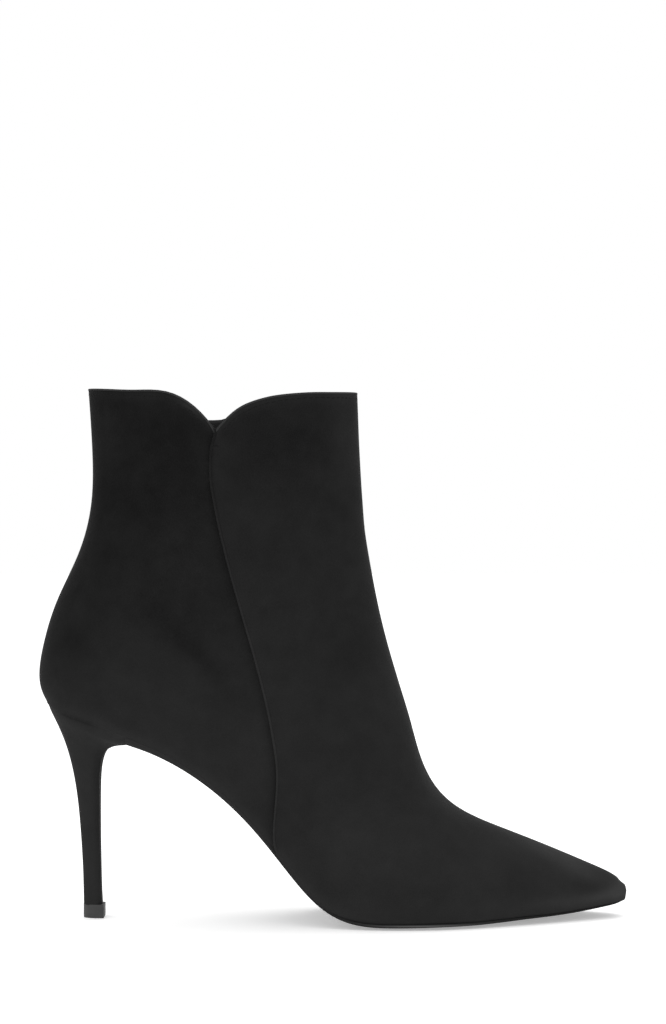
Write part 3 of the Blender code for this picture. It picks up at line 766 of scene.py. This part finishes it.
places, normals = corners_of(upper)
inside = lining_corners(upper)
pressed = np.zeros(len(places))
for row in rows_of(CREASES):
    here = (places[:, 1] * row["side"] > 0.0) & ~inside
    pressed[here] += trough(places[here, 0], places[here, 2], row)
move_corners(upper, places - normals * pressed[:, None])
print("creases: up to", round(float(pressed.max()) / MM, 2), "mm deep")

# %% [markdown]
# A row of stitches runs below the collar's edge, in black thread, and a short bar of thread holds the
# lap where the two halves of the collar meet. One stitch is modelled, a drop of thread with flattened
# ends, and copied into a joined mesh, each copy pressed onto the suede.

# %% One stitch, and how it is sewn on
STITCH_LONG, STITCH_WIDE, STITCH_HIGH = 0.0019, 0.00042, 0.00020
SEAT_FROM_OUT = 0.0005

bpy.ops.object.select_all(action="DESELECT")
bpy.ops.mesh.primitive_uv_sphere_add(
    segments=8, ring_count=6, radius=0.5, rotation=(0.0, math.pi / 2, 0.0)
)
one_stitch = bpy.context.object
bpy.ops.object.transform_apply(location=False, rotation=True, scale=False)
stitch_corners = np.array([v.co for v in one_stitch.data.vertices])
stitch_faces = [list(face.vertices) for face in one_stitch.data.polygons]
bpy.ops.object.delete()

upper_tree = BVHTree.FromObject(upper, bpy.context.evaluated_depsgraph_get())


def seat(place, out, along):
    """Where a stitch lies on the suede: its middle, and its directions along and out of the surface."""
    spot, normal, _, _ = upper_tree.find_nearest(Vector(place) + Vector(out) * SEAT_FROM_OUT)
    along = (Vector(along) - normal * normal.dot(Vector(along))).normalized()
    return spot, along, normal


def sew(name, seats, size):
    """One mesh with a stitch at each seat."""
    corners, faces = [], []
    for spot, along, normal in seats:
        turn = np.array((along, normal.cross(along), normal))
        faces.extend([i + len(corners) * len(stitch_corners) for i in face] for face in stitch_faces)
        corners.append((stitch_corners * size) @ turn + np.array(spot))
    mesh = bpy.data.meshes.new(name)
    mesh.from_pydata(np.concatenate(corners).tolist(), [], faces)
    sewn = bpy.data.objects.new(name, mesh)
    bpy.context.scene.collection.objects.link(sewn)
    alone(sewn)
    bpy.ops.object.shade_smooth()
    return sewn


print("one stitch:", len(stitch_faces), "faces")

# %% [markdown]
# The collar's row follows the measured edge at an even distance below it. Near the notch the row would
# cross itself, so there the stitches that come too close to the edge are left out.
# The bar is a few short upright stitches side by side.

# %% Rows of stitches
STITCH_PITCH, STITCH_BELOW_EDGE, STITCH_CLEAR_SHARE = 0.0026, 0.0023, 0.85
COLLAR_FINE_STEP = 0.0003
BAR_X, BAR_Z = cad_low.x + 0.0704, 0.1853
BAR_STITCHES, BAR_PITCH, BAR_LONG = 6, 0.00042, 0.0009


def collar_seats():
    """Seats of the stitches below the collar's edge."""
    ring = np.vstack((COLLAR, COLLAR[:1]))
    reach = np.concatenate(([0.0], np.cumsum(np.linalg.norm(np.diff(ring, axis=0), axis=1))))

    def along_ring(at):
        return np.stack([np.interp(at, reach, ring[:, i]) for i in range(3)], axis=1)

    count = int(reach[-1] / STITCH_PITCH)
    spots = along_ring(np.arange(count) * reach[-1] / count)
    fine = along_ring(np.arange(0.0, reach[-1], COLLAR_FINE_STEP))
    edge_tree = KDTree(len(fine))
    for i, spot in enumerate(fine):
        edge_tree.insert(spot, i)
    edge_tree.balance()
    notch = min((spot for spot in spots if spot[1] < 0.0), key=lambda spot: spot[2])
    seats = []
    for i, spot in enumerate(spots):
        along = Vector(spots[(i + 1) % count] - spots[i - 1]).normalized()
        out = Vector((spot[0] - SHAFT_X, spot[1], 0.0)).normalized()
        below = out.cross(along)
        below = -below if below.z > 0.0 else below
        place = Vector(spot) + below * STITCH_BELOW_EDGE
        off_notch = np.linalg.norm(spot - notch) > STITCH_BELOW_EDGE
        if off_notch and edge_tree.find(place)[2] > STITCH_CLEAR_SHARE * STITCH_BELOW_EDGE:
            seats.append(seat(place, out, along))
    return seats


collar_stitches = sew("collar_stitches", collar_seats(), (STITCH_LONG, STITCH_WIDE, STITCH_HIGH))
bar_y = float(LAPS[OUTER_SIDE][:, 1].min())
bar_shifts = [(i - (BAR_STITCHES - 1) / 2) * BAR_PITCH for i in range(BAR_STITCHES)]
bar_seats = [seat((BAR_X + shift, bar_y, BAR_Z), (0.0, -1.0, 0.0), (0.0, 0.0, 1.0)) for shift in bar_shifts]
bar_stitches = sew("bar_stitches", bar_seats, (BAR_LONG, STITCH_WIDE, STITCH_HIGH))
print("stitches:", len(collar_stitches.data.polygons) // len(stitch_faces), "on the collar")

# %% [markdown]
# The finishes are procedural: noises on each piece's own coordinates are mixed into a colour, a roughness
# and a fine bump. A picture of suede would need seams on such a shape, and noises have none. All the
# finishes use the same few parts, so each part is a short helper here, and a finish reads as a recipe.

# %% Helpers for the finishes
def new_material(name, **values):
    """A material whose shader has the given values, with its node tree and shader."""
    made = bpy.data.materials.new(name)
    made.use_nodes = True
    shader = made.node_tree.nodes["Principled BSDF"]
    for socket, value in values.items():
        shader.inputs[socket.replace("_", " ")].default_value = value
    return made, made.node_tree, shader


def add_node(tree, kind, **values):
    """A new node with the given input values, where _ in a name stands for a space."""
    made = tree.nodes.new(kind)
    for name, value in values.items():
        made.inputs[name.replace("_", " ")].default_value = value
    return made


def add_math(tree, operation, first, second):
    """A Math node between two sockets or numbers."""
    made = tree.nodes.new("ShaderNodeMath")
    made.operation = operation
    for place, source in enumerate((first, second)):
        if isinstance(source, (int, float)):
            made.inputs[place].default_value = source
        else:
            tree.links.new(source, made.inputs[place])
    return made.outputs[0]


def own_place(tree):
    """The piece's own coordinates, from one node in each material."""
    made = tree.nodes.get("place") or tree.nodes.new("ShaderNodeTexCoord")
    made.name = "place"
    return made.outputs["Object"]


def add_noise(tree, scale, detail, roughness, distortion=0.0):
    """A noise on the piece's own coordinates."""
    made = add_node(
        tree, "ShaderNodeTexNoise", Scale=scale, Detail=detail, Roughness=roughness, Distortion=distortion
    )
    tree.links.new(own_place(tree), made.inputs["Vector"])
    return made.outputs["Fac"]


def add_attribute(tree, name):
    """The value that a mesh keeps under a name."""
    made = tree.nodes.new("ShaderNodeAttribute")
    made.attribute_name = name
    return made.outputs["Fac"]


def blend(tree, factor, first, second):
    """A colour that goes from one grey to another, or from socket to socket, with a factor."""
    mix = tree.nodes.new("ShaderNodeMix")
    mix.data_type = "RGBA"
    tree.links.new(factor, mix.inputs["Factor"])
    for name, source in (("A", first), ("B", second)):
        if isinstance(source, float):
            mix.inputs[name].default_value = (source, source, source, 1.0)
        else:
            tree.links.new(source, mix.inputs[name])
    return mix.outputs["Result"]


def add_bump(tree, shader, height, strength, depth):
    """Bump of a depth in metres from a height socket."""
    bump = add_node(tree, "ShaderNodeBump", Strength=strength, Distance=depth)
    tree.links.new(height, bump.inputs["Height"])
    tree.links.new(bump.outputs["Normal"], shader.inputs["Normal"])


def keep(piece, name, values):
    """Keeps a value for each corner of a piece under a name."""
    kept = piece.data.attributes.new(name, "FLOAT", "POINT")
    kept.data.foreach_set("value", np.asarray(values, np.float32))


print("materials so far:", sorted(m.name for m in bpy.data.materials))

# %% [markdown]
# Suede is leather with its fibres brushed up. It has almost no gloss, but the fibre tips catch light where
# the surface turns away, which the shader's sheen gives. Where the nap is brushed one way it looks lighter,
# and darker the other way: the tone of each place is kept in an attribute, with painted light and shade.
# Three noises break the tone up: soft clouds, a mottle as wide as a finger's touch, and single fibres.

# %% Suede
SUEDE_DARK, SUEDE_LIGHT = 0.006, 0.034
CLOUD_SCALE, MOTTLE_SCALE, FIBRE_SCALE = 26.0, 150.0, 2400.0
CLOUD_SHARE, MOTTLE_SHARE, FIBRE_SHARE = 0.30, 0.18, 0.30
MOTTLE_RELIEF, NOISE_MIDDLE = 2.0, 0.5


def suede(name):
    """Black suede, lightened or darkened by the mesh's nap attribute."""
    made, tree, shader = new_material(
        name, Roughness=0.95, Specular_IOR_Level=0.05, Sheen_Weight=0.04, Sheen_Roughness=0.25
    )
    tone = add_attribute(tree, "nap_and_painted_light")
    fibres = add_noise(tree, FIBRE_SCALE, detail=2.0, roughness=0.7)
    mottle = add_noise(tree, MOTTLE_SCALE, detail=2.0, roughness=0.5)
    clouds = add_noise(tree, CLOUD_SCALE, detail=3.0, roughness=0.5, distortion=0.4)
    for noise, share in ((clouds, CLOUD_SHARE), (mottle, MOTTLE_SHARE), (fibres, FIBRE_SHARE)):
        spread = add_math(tree, "MULTIPLY", add_math(tree, "SUBTRACT", noise, NOISE_MIDDLE), share)
        tone = add_math(tree, "ADD", tone, spread)
    tree.links.new(blend(tree, tone, SUEDE_DARK, SUEDE_LIGHT), shader.inputs["Base Color"])
    height = add_math(tree, "ADD", fibres, add_math(tree, "MULTIPLY", mottle, MOTTLE_RELIEF))
    add_bump(tree, shader, height, strength=0.4, depth=0.0002)
    return made


boot_suede = suede("black_suede")
print("suede:", len(boot_suede.node_tree.nodes), "nodes")

# %% [markdown]
# The back panel is darkest at the top and gets lighter towards the heel. The front panel
# is a little lighter than the back panel beside the lap. One table gives both down the boot's height. A
# second one adds patches of lighter or darker tone: where they are, how far they reach, how they lean in
# degrees, and how much lighter or darker they are. Rows marked in it are painted shade and highlights.

# %% Nap of the panels, with painted shade and highlights
NAP_BY_HEIGHT = (
    ("z", "back_panel", "front_panel"),
    (0.0, 0.40, 0.44),
    (30.0, 0.39, 0.40),
    (70.0, 0.36, 0.33),
    (100.0, 0.24, 0.33),
    (130.0, 0.14, 0.25),
    (160.0, 0.09, 0.22),
    (190.0, 0.04, 0.13),
    (210.0, 0.04, 0.13),
)
BOTH_SIDES, SIDE_SOFT = 0, 0.010
PATCHES = (
    ("side", "x", "z", "long", "wide", "lean", "tone"),
    # The next two rows: painted shade in and around the long crease that slants down the back panel.
    (OUTER_SIDE, 61.7, 107.4, 18.0, 3.8, -46.0, -0.12),
    (OUTER_SIDE, 58.0, 116.0, 16.0, 9.0, -46.0, -0.04),
    # Painted shade in the short crease above the heel.
    (OUTER_SIDE, 16.0, 109.0, 9.0, 6.0, 0.0, -0.10),
    (OUTER_SIDE, 66.0, 134.0, 9.0, 7.0, 0.0, 0.05),
    # Painted highlight where the folded edge of the collar's lobe catches the light, on a lighter cut edge.
    (OUTER_SIDE, 60.0, 201.5, 6.0, 1.3, -42.0, 0.40),
    (OUTER_SIDE, 70.5, 184.0, 8.0, 13.0, 0.0, 0.13),
    (OUTER_SIDE, 98.0, 183.0, 20.0, 13.0, 0.0, -0.08),
    # Painted sheen down the front of the shin.
    (BOTH_SIDES, 123.0, 190.0, 7.0, 18.0, 0.0, 0.16),
    # Painted shade in the crease where the ankle bends.
    (OUTER_SIDE, 124.0, 104.0, 9.0, 11.0, 0.0, -0.08),
    (OUTER_SIDE, 130.0, 34.0, 20.0, 12.0, 0.0, 0.06),
    (OUTER_SIDE, 146.0, 15.0, 26.0, 6.0, 0.0, -0.08),
    (OUTER_SIDE, 185.0, 15.0, 9.0, 7.0, 0.0, -0.08),
    # The next two rows: painted highlight along the ridge of the toe.
    (BOTH_SIDES, 201.0, 26.6, 16.0, 3.0, -24.0, 0.34),
    (BOTH_SIDES, 213.5, 19.3, 10.0, 3.6, -26.0, 0.26),
    (BOTH_SIDES, 205.0, 8.0, 13.0, 2.6, 4.0, 0.18),
    (BOTH_SIDES, 216.0, 13.5, 9.0, 3.0, -10.0, -0.08),
    (BOTH_SIDES, 221.0, 9.0, 10.0, 2.4, 11.0, 0.34),
    (BOTH_SIDES, 228.5, 10.5, 5.0, 4.5, 0.0, 0.40),
    # Painted shade in the long crease of the inner side.
    (INNER_SIDE, 62.0, 106.0, 16.0, 5.0, -40.0, -0.10),
    (INNER_SIDE, 100.0, 176.0, 18.0, 14.0, 20.0, -0.06),
    (INNER_SIDE, 135.0, 28.0, 22.0, 10.0, 0.0, 0.05),
    (INNER_SIDE, 178.0, 16.0, 12.0, 7.0, 0.0, -0.07),
)
LAP_STEP = 0.0003


def patch_tone(x, y, z):
    """Sum of the patches of tone at places on the boot, in metres, with painted shade and highlights among
    them.
    """
    inner = ease(y, -SIDE_SOFT, SIDE_SOFT)
    on_side = {BOTH_SIDES: np.ones_like(x), INNER_SIDE: inner, OUTER_SIDE: 1.0 - inner}
    total = np.zeros_like(x)
    for row in rows_of(PATCHES):
        lean = math.radians(row["lean"])
        across, up = x - cad_low.x - row["x"] * MM, z - row["z"] * MM
        along = (across * math.cos(lean) + up * math.sin(lean)) / (row["long"] * MM)
        beside = (up * math.cos(lean) - across * math.sin(lean)) / (row["wide"] * MM)
        total += row["tone"] * on_side[row["side"]] * np.exp(-(along**2) - beside**2)
    return total


def panel_tone(x, y, z):
    """Tone of the back or the front panel, and how far in front of the lap each place is."""
    ahead = x - on_line(LAPS, y, z, 2, 0)
    front, back = (read_table(NAP_BY_HEIGHT, z, panel) for panel in ("front_panel", "back_panel"))
    return np.where(ahead > -LAP_STEP, front, back), ahead


x, y, z = corners_of(upper)[0].T
tones, ahead = panel_tone(x, y, z)
tones += patch_tone(x, y, z)
print("panels: tones from", round(float(tones.min()), 2), "to", round(float(tones.max()), 2))

# %% [markdown]
# Shade is painted into the nap as well: darker in the shade of the lap and in a short line where the heel
# meets the upper. Light is painted in where the suede turns under at the waist and on the heel's lip, which
# face the floor, and in a band along the collar; the folds get painted highlights, partly worn cut edges.
# These follow the measured lines.

# %% Painted shade and painted light along the edges
# Painted shade beside the lap; a painted highlight on its fold, partly a worn cut edge.
LAP_SHADE = -0.11
LAP_BY_HEIGHT = (
    ("z", "shade_reach", "fold_wear_and_highlight"),
    (0.0, 2.6, 0.22),
    (100.0, 2.6, 0.20),
    (140.0, 1.8, 0.12),
    (165.0, 1.2, 0.04),
    (210.0, 1.2, 0.04),
)
SEAT_SHADE, SEAT_SHADE_REACH = -0.20, 0.0009
SEAT_FROM_X, SEAT_TO_X, SEAT_SOFT = cad_low.x + 0.012, cad_low.x + 0.021, 0.005
# Painted light where the suede turns under at the waist and faces the floor.
WAIST_PAINTED_LIGHT, WAIST_PAINTED_LIGHT_REACH = 0.17, 0.0035
WAIST_PAINTED_LIGHT_TO_X, WAIST_PAINTED_LIGHT_SOFT = cad_low.x + 0.132, 0.020
# Painted sheen in a band below the collar's edge; the collar's fold is lighter by a painted highlight,
# partly a cut edge.
COLLAR_PAINTED_SHEEN, COLLAR_PAINTED_SHEEN_REACH, COLLAR_FOLD_WEAR_AND_HIGHLIGHT = 0.16, 0.0030, 0.85
# Painted light on the heel's lip, where it turns under towards the floor.
LIP_PAINTED_LIGHT, LIP_PAINTED_LIGHT_FROM_X, LIP_PAINTED_LIGHT_TO_Z = 0.16, cad_low.x + 0.018, 0.072
HEEL_BY_HEIGHT = (("z", "tone"), (0.0, 0.50), (55.0, 0.50), (72.0, 0.40), (90.0, 0.36))


def beside_line(away, reach):
    """Goes from 1 on a line to 0 well beyond its reach."""
    return np.exp(-((away / reach) ** 2))


def seat_shade(x, y, z):
    """Painted shade: the short soft dark line above the back of the heel, where it meets the upper."""
    reach = ease(x, SEAT_FROM_X - SEAT_SOFT, SEAT_FROM_X) - ease(x, SEAT_TO_X, SEAT_TO_X + SEAT_SOFT)
    return SEAT_SHADE * reach * beside_line(above_feather(x, y, z), SEAT_SHADE_REACH)


# Painted shade above the back of the heel and beside the lap.
tones += seat_shade(x, y, z)
lap_reach = read_table(LAP_BY_HEIGHT, z, "shade_reach") * MM
tones += np.where(ahead < 0.0, LAP_SHADE * beside_line(ahead, lap_reach), 0.0)
# Painted light where the suede turns under at the waist.
glow = WAIST_PAINTED_LIGHT * beside_line(above_feather(x, y, z), WAIST_PAINTED_LIGHT_REACH)
tones += glow * (1.0 - ease(x, WAIST_PAINTED_LIGHT_TO_X - WAIST_PAINTED_LIGHT_SOFT, WAIST_PAINTED_LIGHT_TO_X))
# Painted sheen in a band below the collar's edge.
collar_turn = np.arctan2(COLLAR[:, 1], COLLAR[:, 0] - SHAFT_X)
collar_z = np.interp(np.arctan2(y, x - SHAFT_X), collar_turn, COLLAR[:, 2], period=2.0 * math.pi)
tones += COLLAR_PAINTED_SHEEN * beside_line(collar_z - z, COLLAR_PAINTED_SHEEN_REACH)
keep(upper, "nap_and_painted_light", tones)
x, y, z = corners_of(heel)[0].T
# Painted light on the heel's lip, and painted shade where the heel meets the upper.
lip_painted_light = LIP_PAINTED_LIGHT * ease(x, LIP_PAINTED_LIGHT_FROM_X, LIP_TO_X) * ease(z, LIP_FROM_Z, LIP_PAINTED_LIGHT_TO_Z)
keep(heel, "nap_and_painted_light", read_table(HEEL_BY_HEIGHT, z, "tone") + seat_shade(x, y, z) + lip_painted_light)
x, y, z = corners_of(lap_fold)[0].T
# The lap's fold: painted highlight, partly a worn cut edge.
keep(lap_fold, "nap_and_painted_light", panel_tone(x, y, z)[0] + read_table(LAP_BY_HEIGHT, z, "fold_wear_and_highlight"))
x, y, z = corners_of(collar_fold)[0].T
# The collar's fold: painted highlight, partly a lighter cut edge.
keep(collar_fold, "nap_and_painted_light", COLLAR_FOLD_WEAR_AND_HIGHLIGHT + patch_tone(x, y, z))
print("nap: from", round(float(tones.min()), 2), "to", round(float(tones.max()), 2))

# %% [markdown]
# The sole is black leather, a little streaky, with a fine grain. Its edge is dressed with wax and has a
# soft shine. Three attributes of the mesh change the leather from place to place: wrap and tuck make it
# dull, on the edge and on the underside, and a third paints a highlight on the edge by making it lighter.

# %% Sole leather
# The edge's lighter tone is a painted highlight.
SOLE_DARK, SOLE_LIGHT, SOLE_DULL_TONE, PAINTED_EDGE_HIGHLIGHT_TONE = 0.006, 0.014, 0.019, 0.10
STREAK_SCALE, STREAK_ROUGHNESS, DULL_ROUGHNESS, SOLE_GRAIN_SCALE = 90.0, 0.2, 0.55, 1400.0


def sole_finish(name, specular, roughness, dulled_by):
    """Black sole leather, which attributes of the mesh make dull, or lighter with a painted highlight."""
    made, tree, shader = new_material(name, Specular_IOR_Level=specular)
    streaks = add_noise(tree, STREAK_SCALE, detail=4.0, roughness=0.6, distortion=0.8)
    dull = add_attribute(tree, dulled_by)
    tone = blend(tree, dull, blend(tree, streaks, SOLE_DARK, SOLE_LIGHT), SOLE_DULL_TONE)
    # Painted highlight: an attribute lightens the edge.
    tone = blend(tree, add_attribute(tree, "painted_edge_highlight"), tone, PAINTED_EDGE_HIGHLIGHT_TONE)
    tree.links.new(tone, shader.inputs["Base Color"])
    gloss = add_math(tree, "ADD", add_math(tree, "MULTIPLY", streaks, STREAK_ROUGHNESS), roughness)
    gloss = add_math(tree, "ADD", gloss, add_math(tree, "MULTIPLY", dull, DULL_ROUGHNESS))
    tree.links.new(gloss, shader.inputs["Roughness"])
    grain = add_noise(tree, SOLE_GRAIN_SCALE, detail=3.0, roughness=0.6)
    add_bump(tree, shader, grain, strength=0.25, depth=0.0001)
    return made


sole_leather = sole_finish("black_sole_leather", specular=0.08, roughness=0.45, dulled_by="tuck")
waxed_edge = sole_finish("waxed_sole_edge", specular=0.07, roughness=0.28, dulled_by="wrap")
print("sole leather:", len(sole_leather.node_tree.nodes), "nodes")

# %% [markdown]
# At the waist the sole is shaved so thin that the suede of the upper seems to run down to its very edge,
# so there the edge's faces get the suede itself, with painted light on it. In front of them the edge goes
# over to waxed leather slantwise, by the attribute wrap. Under the ball of the foot a fine line along the
# edge gets a painted highlight.
# The underside is leather all along, dull only where it is tucked under the heel's lip.

# %% Sole: edge and underside
WRAP_FROM_X, WRAP_SLANT, WRAP_SOFT = cad_low.x + 0.095, 0.022, 0.006
SOLE_SIDE_HIGH, SOLE_SIDE_TOP = 0.0015, 0.0006
# Where the painted highlight lies along the edge under the ball of the foot.
PAINTED_EDGE_HIGHLIGHT_AT_X, PAINTED_EDGE_HIGHLIGHT_REACH_X, PAINTED_EDGE_HIGHLIGHT_AT, PAINTED_EDGE_HIGHLIGHT_REACH = cad_low.x + 0.150, 0.018, 0.5, 0.2
# The suede on the sole's waist edge is set lighter than on the upper: painted light.
TUCK_DULL_TO_X, WAIST_EDGE_TONE = cad_low.x + 0.048, 0.66
EDGE_SLOT, WAIST_SLOT = 1, 2
RIM_TURN = 0.45


def on_rim(normal):
    """True where the sole faces sideways or towards the toe, as its edge does."""
    return abs(normal[1]) > RIM_TURN or normal[0] > RIM_TURN


places, normals = corners_of(outsole)
x, y, z = places.T
rim = np.array([on_rim(normal) for normal in normals])
share = np.clip(1.0 + (above_feather(x, y, z) + SOLE_SIDE_TOP) / SOLE_SIDE_HIGH, 0.0, 1.0)
wrap = rim * np.clip((WRAP_FROM_X + WRAP_SLANT * share - x) / WRAP_SOFT + 0.5, 0.0, 1.0)
# Painted highlight along the middle of the edge under the ball.
painted_edge_highlight = beside_line(x - PAINTED_EDGE_HIGHLIGHT_AT_X, PAINTED_EDGE_HIGHLIGHT_REACH_X) * beside_line(share - PAINTED_EDGE_HIGHLIGHT_AT, PAINTED_EDGE_HIGHLIGHT_REACH)
keep(outsole, "wrap", wrap)
keep(outsole, "tuck", 1.0 - ease(x, SOLE_BACK_END_X, TUCK_DULL_TO_X))
keep(outsole, "painted_edge_highlight", painted_edge_highlight * rim)
# Painted light on the suede of the sole's waist edge.
keep(outsole, "nap_and_painted_light", np.full(len(x), WAIST_EDGE_TONE))
for finish in (sole_leather, waxed_edge, boot_suede):
    outsole.data.materials.append(finish)
for face in outsole.data.polygons:
    if on_rim(face.normal):
        face.material_index = EDGE_SLOT if face.center.x > WRAP_FROM_X else WAIST_SLOT
print("sole: waxed edge of", sum(f.material_index == EDGE_SLOT for f in outsole.data.polygons), "faces")

# %% [markdown]
# Inside, the boot is lined with thin smooth leather, almost black, with a fine pebble grain. The sock on
# the insole is the same leather. The heel's tip is dark grey rubber with a fine matt texture.
# The thread is matt black, so that it hardly shows on the suede.

# %% Lining, sock, rubber and thread
PEBBLE_SCALE, LINING_PATCH_SCALE = 900.0, 70.0
LINING_ROUGHNESS, LINING_ROUGHNESS_SPREAD = 0.42, 0.2
RUBBER_DARK, RUBBER_LIGHT, SPECKLE_SCALE, RUBBER_GRAIN_SCALE = 0.032, 0.050, 300.0, 3000.0
THREAD_DARK, THREAD_LIGHT, FUZZ_SCALE = 0.006, 0.014, 4000.0


def grained_leather(name, dark, light):
    """Smooth dark leather with a fine pebble grain."""
    made, tree, shader = new_material(name, Specular_IOR_Level=0.25)
    pebble = add_node(tree, "ShaderNodeTexVoronoi", Scale=PEBBLE_SCALE)
    tree.links.new(own_place(tree), pebble.inputs["Vector"])
    patches = add_noise(tree, LINING_PATCH_SCALE, detail=3.0, roughness=0.5)
    tree.links.new(blend(tree, patches, dark, light), shader.inputs["Base Color"])
    spread = add_math(tree, "MULTIPLY", patches, LINING_ROUGHNESS_SPREAD)
    tree.links.new(add_math(tree, "ADD", spread, LINING_ROUGHNESS), shader.inputs["Roughness"])
    add_bump(tree, shader, pebble.outputs["Distance"], strength=0.25, depth=0.0002)
    return made


lining = grained_leather("dark_lining", dark=0.006, light=0.012)
sock = grained_leather("dark_sock", dark=0.008, light=0.016)
rubber, tree, shader = new_material("grey_rubber", Specular_IOR_Level=0.3, Roughness=0.6)
speckle = add_noise(tree, SPECKLE_SCALE, detail=4.0, roughness=0.6)
tree.links.new(blend(tree, speckle, RUBBER_DARK, RUBBER_LIGHT), shader.inputs["Base Color"])
grain = add_noise(tree, RUBBER_GRAIN_SCALE, detail=2.0, roughness=0.6)
add_bump(tree, shader, grain, strength=0.3, depth=0.0001)
thread, tree, shader = new_material("black_thread", Specular_IOR_Level=0.05, Roughness=0.8)
fuzz = add_noise(tree, FUZZ_SCALE, detail=2.0, roughness=0.6)
tree.links.new(blend(tree, fuzz, THREAD_DARK, THREAD_LIGHT), shader.inputs["Base Color"])
print("finishes:", [m.name for m in (lining, sock, rubber, thread)])

# %% [markdown]
# At last every piece gets its finish, is tied to the boot's one body, and takes the place of its solid.
# The folds and the stitches are new, so they stand for no solid.

# %% Dress the boot
upper.data.materials[0] = boot_suede
upper.data.materials[LINING_SLOT] = lining
for piece, finish in (
    (heel, boot_suede),
    (lap_fold, boot_suede),
    (collar_fold, boot_suede),
    (collar_stitches, thread),
    (bar_stitches, thread),
    (top_piece, rubber),
    (insole, sock),
):
    piece.data.materials.append(finish)
for piece, node, slot in (
    (upper, "upper", "suede"),
    (heel, "heel", "heel_suede"),
    (outsole, "outsole", "sole_leather"),
    (top_piece, "heel_top_piece", "top_piece"),
    (insole, "insole", "insole_leather"),
):
    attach(piece, "root")
    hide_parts(node)
for piece in (lap_fold, collar_fold, collar_stitches, bar_stitches):
    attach(piece, "root")
print("dressed:", ", ".join(piece.name for piece in (upper, heel, outsole, top_piece, insole)))
